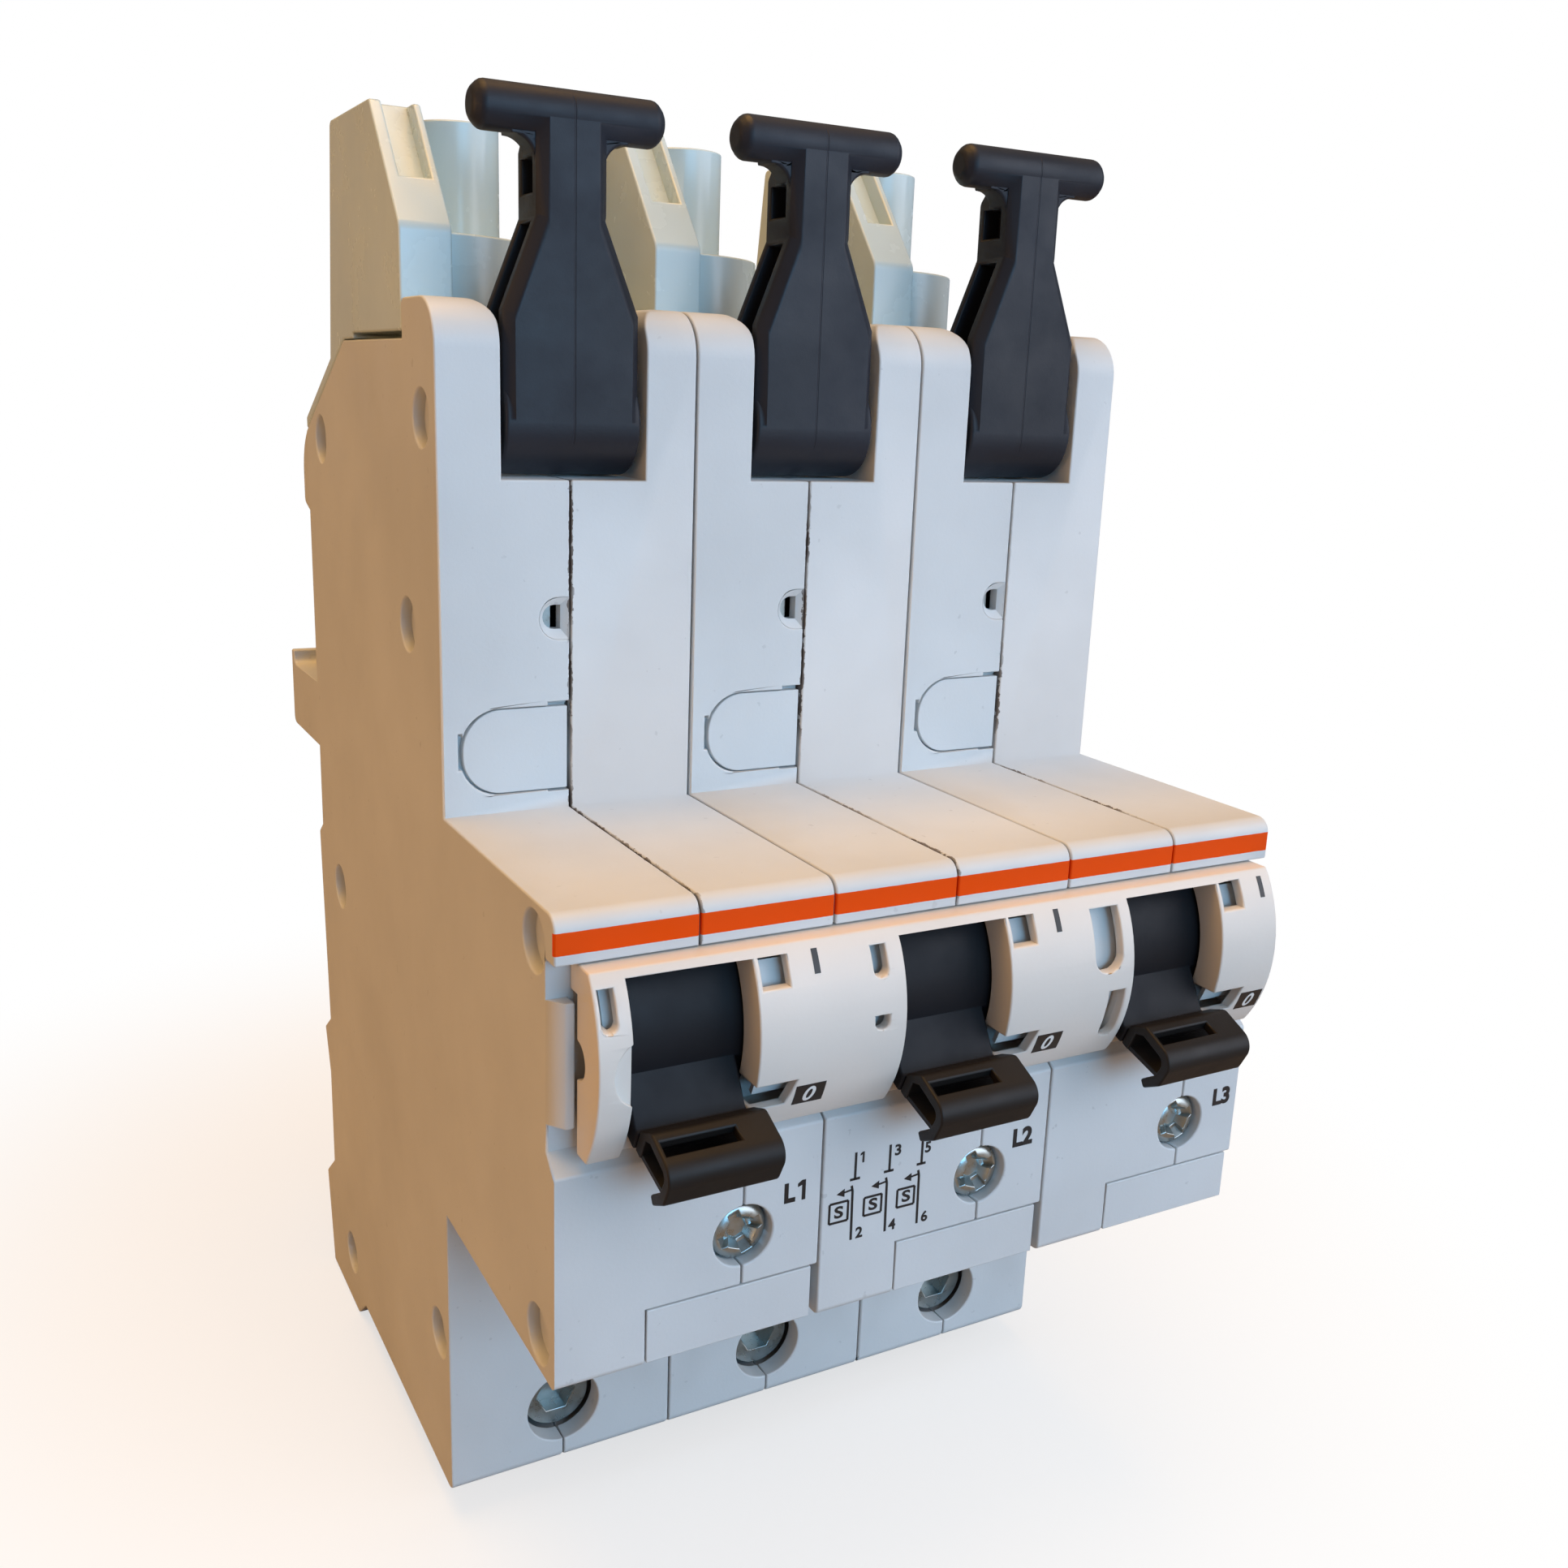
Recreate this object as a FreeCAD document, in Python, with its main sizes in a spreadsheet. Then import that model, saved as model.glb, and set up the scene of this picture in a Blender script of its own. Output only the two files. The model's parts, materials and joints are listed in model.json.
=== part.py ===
import FreeCAD, Part
import math
import os
import re

import Sketcher

# A three-pole selective main circuit breaker that clamps onto three busbars.
# X runs across the poles, Y from front to back and Z upwards. Every size is in
# millimetres: depths are measured back from the front of the cap, heights up
# from its underside, and widths across from the middle of a pole.
SIZES = {
    # Poles and the busbars they stand on
    "pole_pitch": 27,
    "pole_gap": 0.2,
    "seam_gap": 0.16,
    "bar_pitch": 40,
    "bar_plane": 90.5,
    "bar_middle": 20.3,
    # Walls
    "wall": 2.2,
    "side_wall": 2.4,
    "seat_gap": 0.1,
    "run_gap": 0.3,
    # Cap, the part that stands through the cover of the board
    "cap_height": 45,
    "cap_depth": 31.5,
    "cap_round": 1.6,
    "chin_height": 21.1,
    "bay_depth": 2.1,
    "bay_foot": 22.8,
    "bay_top": 40.6,
    "front_core": 14,
    # Upper housing
    "crest_height": 94.8,
    "crest_round": 4.6,
    "crest_back": 42.5,
    "ledge_height": 91,
    "ledge_back": 67,
    "slope_foot": 80.2,
    "back_depth": 88.6,
    "prong_round": 2.4,
    # Rear steps and foot
    "step_height": 27.5,
    "step_depth": 90.7,
    "step_slope": 1.5,
    "waist_height": 0.7,
    "waist_depth": 88.9,
    "heel_height": -1.8,
    "heel_depth": 92.4,
    "throat_top": -8,
    "throat_foot": -21.7,
    "throat_depth": 90.2,
    "rail_height": -25.6,
    "rail_depth": 95.1,
    "foot_height": -39,
    "foot_depth": 92.6,
    "foot_front": 77.7,
    "belly_back": 73.6,
    "belly_back_height": -35.6,
    "belly_front_height": -35.4,
    "block_depth": 33.3,
    "block_round": 1.2,
    # Tongue of the left shell across the chin, and the flap under it
    "tongue_edge": 5.15,
    "tongue_depth": 2.2,
    "flap_left": 4.5,
    "flap_right": 12.7,
    "flap_foot": 0.35,
    "flap_top": 5.8,
    # Fixed hook that catches the busbar from below
    "hook_foot": 39.6,
    "hook_floor": 48.2,
    "hook_lip": 50,
    "hook_reach": 104.5,
    "hook_lip_thickness": 1.4,
    "hook_round": 1.2,
    # Sliding jaw that presses on the busbar from above
    "jaw_half_width": 11.4,
    "jaw_foot": 69.4,
    "jaw_top": 81.1,
    "jaw_reach": 101.3,
    "jaw_round": 6.8,
    "jaw_edge": 1,
    "jaw_edge_depth": 3,
    "jaw_travel": 3,
    "jaw_stem_half_width": 6,
    "jaw_stem_foot": 71,
    "jaw_stem_top": 76,
    "jaw_flange_half_width": 9,
    "jaw_flange_overlap": 2.5,
    "jaw_flange_thickness": 2,
    # Rib at the outer end of the bay
    "rib_foot": 25.3,
    "rib_top": 37,
    "rib_front": 0.5,
    "rib_chamfer": 1.3,
    # Tie rivets, and the recesses in the outer side that lie over them
    "rivet_radius": 1.6,
    "rivet_clearance": 0.05,
    "pin_cover": 1.6,
    "front_rivet_depth": 43,
    "front_rivet_height": 62.7,
    "chin_rivet_depth": 4.4,
    "chin_rivet_height": 3.4,
    "block_rivet_depth": 37.3,
    "block_rivet_height": -17,
    "foot_rivet_depth": 80.6,
    "foot_rivet_height": -31.2,
    "back_rivet_depth": 79.2,
    "back_rivet_height": 23,
    "slope_rivet_depth": 80.6,
    "slope_rivet_height": 79.6,
    "recess_radius": 2.8,
    "recess_depth": 1.2,
    "brow_recess_depth": 5,
    "brow_recess_height": 41.3,
    # Clamp lever
    "axle_depth": 36.4,
    "axle_height": 83.6,
    "axle_radius": 1.6,
    "lever_hub": 5.2,
    "lever_thickness": 6.3,
    "lever_chamfer": 1,
    "lever_left": 6.6,
    "lever_right": 7.3,
    "lever_shoulder": 10.2,
    "lever_kink": 18.8,
    "neck_left": 3.2,
    "neck_right": 3.8,
    "bar_length_left": 9.2,
    "bar_length_right": 9.8,
    "bar_radius": 2.2,
    "bar_axis": 28,
    "bar_fillet": 2.3,
    "bar_chamfer": 0.9,
    "web_half": 1.3,
    "pocket_front": 2.3,
    "pocket_back": 0.9,
    "pocket_gap": 2.2,
    "slot_left": 7,
    "slot_right": 8,
    "slot_floor": 78.15,
    "slot_back": 43,
    # Contact housing on the ledge
    "fin_width": 5.3,
    "fin_front": 42.6,
    "fin_kink": 101.6,
    "fin_top": 114.1,
    "fin_slope_back": 52.8,
    "fin_back": 70.1,
    "fin_root": 73.9,
    "skirt_thickness": 1.5,
    "skirt_back": 88.2,
    "fin_gap": 0.6,
    "fin_wall": 1.3,
    "fin_inner_wall": 0.8,
    "fin_slot_foot": 106.4,
    "fin_slot_depth": 2.6,
    "block_top": 101.4,
    "block_bow": 13,
    "block_bow_depth": 58,
    "block_back": 70,
    "tower_radius": 4.6,
    "tower_top": 113.7,
    "tower_side": 1.9,
    "tower_depth": 61.5,
    # Toggle and its grip
    "hinge_depth": 10.5,
    "hinge_height": 32,
    "drum_radius": 11.4,
    "drum_left": 7.6,
    "drum_right": 4.5,
    "drum_back": 3,
    "arm_left": 7.3,
    "arm_right": 3.4,
    "arm_length": 15.3,
    "arm_root_top": 3,
    "arm_tip_top": 0.2,
    "arm_under": 1.8,
    "toggle_tilt": 24.5,
    "grip_left": 7.1,
    "grip_right": 3.9,
    "grip_reach": 21.9,
    "grip_height": 2.3,
    "grip_drop": 3.4,
    "grip_wall": 1.1,
    "grip_round": 1.7,
    "grip_lean": 0.2,
    "grip_window_left": 6.6,
    "grip_window_right": 0.4,
    # Guard over the toggles
    "guard_left": 38.2,
    "guard_right": 38.5,
    "guard_radius": 15.1,
    "guard_wall": 1.2,
    "guard_foot": 22.9,
    "guard_bar_top": 24.2,
    "guard_bar_front": 0.5,
    "guard_bar_under": 39.7,
    "guard_edge": 0.45,
    "guard_head_foot": 37.7,
    "guard_notch_radius": 1.75,
    "guard_notch_height": 31.8,
    "window_left": 8,
    "window_right": 3.8,
    "window_rib": 0.6,
    "sight_right": 7.1,
    "sight_foot": 37,
    "notch_top": 28.1,
    "notch_foot": 25.6,
    "notch_right": 7.9,
    "notch_lean": 0.7,
    # Slots in the face of the guard, placed from the middle of the breaker
    "slot_head": 39.2,
    "end_slot_left": -37.7,
    "end_slot_right": -36.3,
    "end_slot_foot": 35.8,
    "joint_slot_left": -11.3,
    "joint_slot_right": -9.8,
    "joint_slot_foot": 36.5,
    "square_slot_left": -11.4,
    "square_slot_right": -9.9,
    "square_slot_foot": 31.7,
    "square_slot_top": 33.1,
    "broad_slot_left": 14.1,
    "broad_slot_right": 17.5,
    "broad_slot_foot": 33,
    "low_slot_left": 16.1,
    "low_slot_right": 18.1,
    "low_slot_foot": 25.5,
    "low_slot_top": 30.9,
    # Finger hollow beside the first window
    "finger_width": 1.7,
    "finger_foot": 28.9,
    "finger_top": 34.6,
    "finger_depth": 0.7,
    # Inspection cover in the upper front
    "cover_left": 11.55,
    "cover_right": 0.3,
    "cover_foot": 46.9,
    "cover_top": 55.7,
    "cover_thickness": 1.2,
    "round_share": 0.47,
    "peep_left": 3,
    "peep_foot": 63.2,
    "peep_top": 66.6,
    # Front screw
    "front_screw_side": 5.2,
    "front_screw_height": 11.05,
    "front_screw_hole": 3.1,
    "front_screw_head": 2.95,
    "front_screw_recess": 0.8,
    "front_screw_recess_floor": 1.3,
    "front_screw_recess_mouth": 1.8,
    "front_screw_sink": 0.5,
    "front_screw_head_height": 2.8,
    "front_screw_shank": 1.95,
    "front_screw_length": 12.5,
    # Cage terminal
    "terminal_height": -28.4,
    "terminal_hole": 4.35,
    "screw_head": 4,
    "screw_head_height": 3.2,
    "screw_head_depth": 36,
    "screw_key": 2.1,
    "screw_key_depth": 2.2,
    "screw_shank": 3,
    "cage_front": 46.6,
    "cage_back": 62.2,
    "cage_half_width": 7.8,
    "cage_half_height": 4.5,
    "cage_wall": 1.8,
    "strap_front": 49,
    "strap_thickness": 1.6,
    "strap_half_width": 5,
    "strap_top": 6,
    "chamber_back": 62.5,
    "cable_half_width": 6,
    # Current path inside
    "contact_half_width": 4.5,
    "contact_half_height": 4.5,
    "riser_clearance": 1.2,
    "riser_thickness": 1.6,
    "riser_top": 64,
    "anvil_foot": 50,
    "anvil_front": 74.5,
    "anvil_thickness": 1.5,
    "tip_half": 1.8,
    "tip_height": 1,
    "pivot_depth": 50,
    "pivot_height": 42,
    "contact_hub": 3.2,
    "contact_swing": 14,
    "contact_arm_width": 6,
    "contact_arm_thickness": 2.4,
    "chute_front": 49,
    "chute_back": 73,
    "chute_foot": 53.5,
    "chute_top": 73.5,
    "chute_plates": 8,
    "chute_plate_thickness": 1,
    "chute_cheek": 1,
    "coil_depth": 66,
    "coil_foot": 8,
    "coil_top": 32,
    "coil_radius": 7.5,
    "coil_flange": 9.5,
    "coil_flange_thickness": 1.6,
    "bimetal_top": 33,
    "bimetal_thickness": 1,
    "bimetal_half_width": 3.5,
    "pin_clearance": 0.08,
}

POLES = (1, 2, 3)
SPAN = "(pole_pitch - pole_gap) / 2"
SEAM = "seam_gap / 2"
RISER_DEPTH = "(back_depth - wall - riser_clearance - riser_thickness)"
RIVETS = [("%s_rivet_depth" % spot, "%s_rivet_height" % spot)
          for spot in ("front", "chin", "block", "foot", "back", "slope")]
LEVER_AXLE = ("axle_depth", "axle_height")
AXLES = [LEVER_AXLE, ("hinge_depth", "hinge_height"), ("pivot_depth", "pivot_height")]
BROW_RECESS = ("brow_recess_depth", "brow_recess_height")
LEAST_CUT = 0.001
NEAR = 0.0001

doc = FreeCAD.newDocument("main_breaker")
sheet = doc.addObject("Spreadsheet::Sheet", "Sizes")
for row, (name, size) in enumerate(SIZES.items(), start=1):
    sheet.set("A%d" % row, name)
    sheet.set("B%d" % row, str(size))
    sheet.setAlias("B%d" % row, name)
doc.recompute()


def bound(sum_text):
    """The same sum with every size read from the sheet."""
    def from_sheet(word):
        return "Sizes." + word.group() if word.group() in SIZES else word.group()
    return re.sub(r"[a-z]+(_[a-z]+)*", from_sheet, str(sum_text))


def value(sum_text):
    """The number that a sum of sizes comes to."""
    return float(sheet.evalExpression(bound(sum_text)))


def new_body(label, side="0", depth="0", height="0", tilt="0"):
    """A body whose own origin lies at the given place of the breaker, tilted about X."""
    body = doc.addObject("PartDesign::Body", label)
    body.Label = label
    body.Placement.Rotation = FreeCAD.Rotation(FreeCAD.Vector(1, 0, 0), 1)
    body.setExpression("Placement.Base.x", bound(side))
    body.setExpression("Placement.Base.y", bound("%s - bar_plane" % depth))
    body.setExpression("Placement.Base.z", bound("%s - bar_middle" % height))
    body.setExpression("Placement.Rotation.Angle", bound(tilt))
    return body


def pole_side(pole):
    """Where the middle of a pole lies across the breaker."""
    return "pole_pitch * %d" % (pole - 2)


def drawing_on(body, plane, level="0"):
    """A sketch on one of the body's own planes, moved along the plane's normal."""
    drawing = body.newObject("Sketcher::SketchObject", "Sketch")
    support = next(item for item in body.Origin.OriginFeatures if item.Role == plane)
    drawing.AttachmentSupport = [(support, "")]
    drawing.MapMode = "FlatFace"
    drawing.setExpression("AttachmentOffset.Base.z", bound(level))
    return drawing


def fix(drawing, kind, name, sum_text, *targets):
    """A dimension of a sketch, tied to a sum of sizes."""
    index = drawing.addConstraint(Sketcher.Constraint(kind, *targets, value(sum_text)))
    drawing.renameConstraint(index, name)
    drawing.setExpression("Constraints." + name, bound(sum_text))


def locate(drawing, element, end, across, up):
    """Ties a point of a sketch to its place from the sketch's origin."""
    name = "place_%d_%d" % (element, end)
    fix(drawing, "DistanceX", name + "_across", across, -1, 1, element, end)
    fix(drawing, "DistanceY", name + "_up", up, -1, 1, element, end)


def flat(across, up):
    return FreeCAD.Vector(across, up, 0)


def rounding_points(before, corner, after, radius):
    """Start, middle and end of the arc that rounds a corner."""
    to_before = (before - corner).normalize()
    to_after = (after - corner).normalize()
    half = to_before.getAngle(to_after) / 2
    bisector = (to_before + to_after).normalize()
    start = corner + to_before * (radius / math.tan(half))
    end = corner + to_after * (radius / math.tan(half))
    middle = corner + bisector * (radius / math.sin(half) - radius)
    return start, middle, end


def bow_middle(start, end, radius):
    """Middle of the shorter arc between two points that bulges to the left of travel."""
    chord = end - start
    left = FreeCAD.Vector(-chord.y, chord.x, 0).normalize()
    rise = radius - math.sqrt(radius ** 2 - (chord.Length / 2) ** 2)
    return (start + end) * 0.5 + left * rise


def outline(drawing, corners):
    """A closed outline through corners (across, up), rounded where a third sum gives a radius.

    A fourth sum makes the side that follows the corner an arc of that radius."""
    count = len(corners)
    points = [flat(value(corner[0]), value(corner[1])) for corner in corners]
    radii = [value(corner[2]) if len(corner) > 2 else 0 for corner in corners]
    rounds = {}
    starts = list(points)
    ends = list(points)
    for index in range(count):
        if radii[index] > 0:
            before = points[index - 1]
            after = points[(index + 1) % count]
            start, middle, end = rounding_points(before, points[index], after, radii[index])
            rounds[index] = (start, middle, end)
            ends[index] = start
            starts[index] = end
    sides = []
    for index in range(count):
        following = (index + 1) % count
        if len(corners[index]) > 3:
            middle = bow_middle(points[index], points[following], value(corners[index][3]))
            curve = Part.Arc(points[index], middle, points[following])
        else:
            curve = Part.LineSegment(starts[index], ends[following])
        sides.append(drawing.addGeometry(curve, False))
    for index in range(count):
        side = sides[index]
        before = sides[index - 1]
        across, up = corners[index][0], corners[index][1]
        if index in rounds:
            arc = drawing.addGeometry(Part.Arc(*rounds[index]), False)
            tip = drawing.addGeometry(Part.Point(points[index]), True)
            forward = arc_runs_forward(drawing, arc, rounds[index][0])
            drawing.addConstraint(Sketcher.Constraint("Tangent", before, 2, arc, 1 if forward else 2))
            drawing.addConstraint(Sketcher.Constraint("Tangent", arc, 2 if forward else 1, side, 1))
            drawing.addConstraint(Sketcher.Constraint("PointOnObject", tip, 1, before))
            drawing.addConstraint(Sketcher.Constraint("PointOnObject", tip, 1, side))
            fix(drawing, "Radius", "round_%d" % arc, corners[index][2], arc)
            locate(drawing, tip, 1, across, up)
        else:
            start_end = end_at(drawing, side, points[index])
            drawing.addConstraint(Sketcher.Constraint(
                "Coincident", before, end_at(drawing, before, points[index]), side, start_end))
            locate(drawing, side, start_end, across, up)
        if len(corners[index]) > 3:
            fix(drawing, "Radius", "bow_%d" % side, corners[index][3], side)


def arc_runs_forward(drawing, arc, start):
    return drawing.getPoint(arc, 1).distanceToPoint(start) < NEAR


def end_at(drawing, element, point):
    """Which end of an element lies at a point: 1 is its start and 2 its end."""
    return 1 if drawing.getPoint(element, 1).distanceToPoint(point) < NEAR else 2


def circle(drawing, across, up, radius):
    centre = flat(value(across), value(up))
    ring = drawing.addGeometry(Part.Circle(centre, FreeCAD.Vector(0, 0, 1), value(radius)), False)
    locate(drawing, ring, 3, across, up)
    fix(drawing, "Radius", "radius_%d" % ring, radius, ring)


def base_level(plane, start, end):
    """The level of a form's drawing; the normal of XZ_Plane points to the front."""
    return "-(%s)" % end if plane == "XZ_Plane" else start


def extrude(body, plane, start, end, corners=(), circles=(), hexagons=(), cut=False):
    """Adds or cuts a straight form between two places along the plane's axis.

    YZ_Plane runs along X, XY_Plane along Z and XZ_Plane along Y."""
    drawing = drawing_on(body, plane, base_level(plane, start, end))
    if corners:
        outline(drawing, corners)
    for across, up, reach in hexagons:
        outline(drawing, hexagon(across, up, reach))
    for across, up, radius in circles:
        circle(drawing, across, up, radius)
    feature = body.newObject("PartDesign::Pocket" if cut else "PartDesign::Pad", "Form")
    feature.Profile = drawing
    feature.setExpression("Length", bound("(%s) - (%s)" % (end, start)))
    feature.Reversed = cut
    body.Tip = feature
    return feature


def cut_out(body, plane, start, end, corners=(), circles=(), hexagons=()):
    """Cuts a straight form between two places along the plane's axis."""
    return extrude(body, plane, start, end, corners, circles, hexagons, cut=True)


def chamfer_at(body, axis, level, size, between=("-1000", "1000")):
    """Chamfers the edges in the plane at a level along an axis whose middles lie between heights."""
    doc.recompute()
    base = body.Tip
    lowest, highest = (value(height) for height in between)
    edges = []
    for number, edge in enumerate(base.Shape.Edges, start=1):
        box = edge.BoundBox
        ends = (getattr(box, axis + "Min"), getattr(box, axis + "Max"))
        if all(abs(end - value(level)) < NEAR for end in ends):
            if lowest + NEAR < box.Center.z < highest - NEAR:
                edges.append("Edge%d" % number)
    feature = body.newObject("PartDesign::Chamfer", "Chamfer")
    feature.Base = (base, edges)
    feature.setExpression("Size", bound(size))
    body.Tip = feature


def revolve(body, plane, corners, axis="V_Axis"):
    """Adds a turned form about one of the sketch's own axes."""
    drawing = drawing_on(body, plane)
    outline(drawing, corners)
    feature = body.newObject("PartDesign::Revolution", "Turned")
    feature.Profile = drawing
    feature.ReferenceAxis = (drawing, [axis])
    feature.Angle = 360
    body.Tip = feature
    return feature


def box_corners(left, foot, right, top):
    return [(left, foot), (right, foot), (right, top), (left, top)]


def hexagon(across, up, reach):
    """Corners of a six-sided hole whose flats lie at the given reach from its middle."""
    corner = "(%s) / cos(30)" % reach
    return [("%s + %s * cos(%d)" % (across, corner, turn), "%s + %s * sin(%d)" % (up, corner, turn))
            for turn in range(0, 360, 60)]


def shell_profile():
    """Side outline of a pole, from the cap's lower front edge round by the top and the back."""
    return [
        ("0", "0", "cap_round / 2"),
        ("block_depth", "0"),
        ("block_depth", "belly_front_height", "block_round"),
        ("belly_back", "belly_back_height"),
        ("foot_front", "foot_height"),
        ("foot_depth", "foot_height"),
        ("rail_depth", "rail_height"),
        ("throat_depth", "throat_foot"),
        ("throat_depth", "throat_top"),
        ("heel_depth", "heel_height"),
        ("waist_depth", "waist_height"),
        ("step_depth", "step_height"),
        ("back_depth", "step_height + step_slope"),
        ("back_depth", "slope_foot"),
        ("ledge_back", "ledge_height"),
        ("crest_back", "ledge_height"),
        ("crest_back", "crest_height", "cap_round / 2"),
        ("cap_depth", "crest_height", "crest_round"),
        ("cap_depth", "cap_height"),
        ("0", "cap_height", "cap_round"),
        ("0", "bay_top"),
        ("bay_depth", "bay_top"),
        ("bay_depth", "bay_foot"),
        ("0", "chin_height"),
    ]


def cavity_profile():
    """The space for the mechanism, one wall inside the outline."""
    return [
        ("front_core", "wall"),
        ("block_depth + wall", "wall"),
        ("block_depth + wall", "-wall * 2"),
        ("chamber_back + wall", "-wall * 2"),
        ("chamber_back + wall", "belly_back_height + wall"),
        ("back_depth - wall", "belly_back_height + wall"),
        ("back_depth - wall", "slope_foot - wall"),
        ("ledge_back - wall / 2", "ledge_height - wall"),
        ("slot_back + wall", "ledge_height - wall"),
        ("slot_back + wall", "slot_floor - wall"),
        ("cap_depth + wall", "slot_floor - wall"),
        ("cap_depth + wall", "cap_height - wall"),
        ("bay_depth + wall", "cap_height - wall"),
        ("bay_depth + wall", "bay_foot - wall"),
        ("front_core", "chin_height - wall"),
    ]


def hook_profile():
    """Hook behind the back wall, with its upright lip."""
    return [
        ("back_depth - wall / 2", "hook_foot"),
        ("hook_reach", "hook_foot", "hook_round"),
        ("hook_reach", "hook_lip"),
        ("hook_reach - hook_lip_thickness", "hook_lip"),
        ("hook_reach - hook_lip_thickness", "hook_floor", "hook_round"),
        ("back_depth - wall / 2", "hook_floor"),
    ]


def bar_height(pole):
    """Height of the busbar that a pole is fed from: the first pole takes the top one."""
    return "bar_middle + bar_pitch * %d" % (2 - pole)


def shell_half(label, pole, left):
    """One half of a pole's casing: an open tray that meets the other half at the seam."""
    body = new_body(label, pole_side(pole))
    inner, outer = (SEAM, SPAN)
    span = ("-(%s)" % outer, "-(%s)" % inner) if left else (inner, outer)
    hollow = ("-(%s - side_wall)" % outer, "0") if left else ("0", "%s - side_wall" % outer)
    extrude(body, "YZ_Plane", *span, shell_profile())
    extrude(body, "YZ_Plane", *span, hook_profile())
    cut_out(body, "YZ_Plane", *hollow, cavity_profile())
    cut_chamber(body)
    cut_lever_slot(body, left)
    cut_toggle_well(body)
    cut_back_windows(body, pole)
    return body


def cut_chamber(body):
    """Chamber of the cage terminal, with its screw hole, cable entry and slot for the strap."""
    foot = "terminal_height - cage_half_height - seat_gap"
    top = "terminal_height + cage_half_height + seat_gap"
    half = "cage_half_width + seat_gap"
    cut_out(body, "YZ_Plane", "-(%s)" % half, half,
            box_corners("screw_head_depth - seat_gap", foot, "chamber_back", top))
    cut_out(body, "XZ_Plane", "block_depth - 1", "screw_head_depth",
            circles=[("0", "terminal_height", "terminal_hole")])
    behind_strap = "strap_front + strap_thickness + seat_gap"
    cut_out(body, "XY_Plane", "belly_back_height - 1", foot + " + 1",
            box_corners("-cable_half_width", behind_strap, "cable_half_width",
                        "cage_back - cage_wall"))
    cut_out(body, "XY_Plane", "%s - 1" % top, "0",
            box_corners("-strap_half_width - seat_gap", "strap_front - seat_gap",
                        "strap_half_width + seat_gap", behind_strap))


def cut_lever_slot(body, left):
    """Slot that the clamp lever swings in, with the top of its side wall rounded off."""
    cut_out(body, "YZ_Plane", "-slot_left", "slot_right",
            box_corners("cap_depth - 1", "slot_floor", "slot_back", "crest_height + 1"))
    round_foot = "crest_height - prong_round"
    if left:
        rounding = [
            ("-slot_left - prong_round", "crest_height", "0", "prong_round"),
            ("-slot_left", round_foot),
            ("-slot_left + 1", round_foot),
            ("-slot_left + 1", "crest_height + 1"),
            ("-slot_left - prong_round", "crest_height + 1"),
        ]
    else:
        rounding = [
            ("slot_right", round_foot, "0", "prong_round"),
            ("slot_right + prong_round", "crest_height"),
            ("slot_right + prong_round", "crest_height + 1"),
            ("slot_right - 1", "crest_height + 1"),
            ("slot_right - 1", round_foot),
        ]
    cut_out(body, "XZ_Plane", "cap_depth - 1", "crest_back + 1", rounding)


def cut_toggle_well(body):
    """Eight-sided well that the toggle's drum turns in, open to the bay."""
    reach = "(drum_radius + 2 * run_gap)"
    half_side = reach + " * tan(22.5)"
    turns = [(reach, half_side), (half_side, reach), ("-" + half_side, reach),
             ("-" + reach, half_side), ("-" + reach, "-" + half_side),
             ("-" + half_side, "-" + reach), (half_side, "-" + reach),
             (reach, "-" + half_side)]
    cut_out(body, "YZ_Plane", "-drum_left - 2 * run_gap", "drum_right + 2 * run_gap",
            [("hinge_depth + %s" % across, "hinge_height + %s" % up) for across, up in turns])


def cut_back_windows(body, pole):
    """Openings in the back wall for the jaw's stem and for the busbar contact."""
    cut_out(body, "XZ_Plane", "back_depth - 2 * wall", "back_depth + 1",
            box_corners("-jaw_stem_half_width - seat_gap",
                        "jaw_stem_foot - jaw_travel - run_gap",
                        "jaw_stem_half_width + seat_gap", "jaw_stem_top + run_gap"))
    middle = bar_height(pole)
    cut_out(body, "XZ_Plane", "back_depth - 2 * wall", "heel_depth + 1",
            box_corners("-contact_half_width - seat_gap",
                        "%s - contact_half_height - seat_gap" % middle,
                        "contact_half_width + seat_gap",
                        "%s + contact_half_height + seat_gap" % middle))


def cut_pin_holes(body, start, end):
    """Six-sided holes that hold the rivets and axles on their flats."""
    holes = [(*place, "rivet_radius + rivet_clearance") for place in RIVETS]
    holes += [(*place, "axle_radius + rivet_clearance") for place in AXLES]
    cut_out(body, "YZ_Plane", start, end, hexagons=holes)


def sink_recesses(body):
    """Round recesses in the outer side of the first pole."""
    places = RIVETS + [LEVER_AXLE, BROW_RECESS]
    cut_out(body, "YZ_Plane", "-(%s) - 1" % SPAN, "-(%s) + recess_depth" % SPAN,
            circles=[(*place, "recess_radius") for place in places])


def add_bay_rib(body):
    """Upright rib that closes the bay beside the end of the guard."""
    outer = "-(%s)" % SPAN
    inner = "pole_pitch - guard_left - seat_gap"
    extrude(body, "XY_Plane", "rib_foot", "rib_top", [
        (outer, "bay_depth"),
        (outer + " + rib_chamfer", "rib_front"),
        (inner, "rib_front"),
        (inner, "bay_depth"),
    ])


def tongue_profile():
    """The strip of the chin that the left half carries across the seam."""
    return [
        ("0", "flap_top + seat_gap"),
        ("tongue_depth", "flap_top + seat_gap"),
        ("tongue_depth", "chin_height"),
        ("0", "chin_height"),
    ]


def cut_flap_seat(body):
    """Shallow seat of the flap at the foot of the chin."""
    cut_out(body, "YZ_Plane", "-flap_left - seat_gap", "%s + 1" % SPAN,
            box_corners("-1", "-1", "tongue_depth", "flap_top + seat_gap"))


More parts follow.
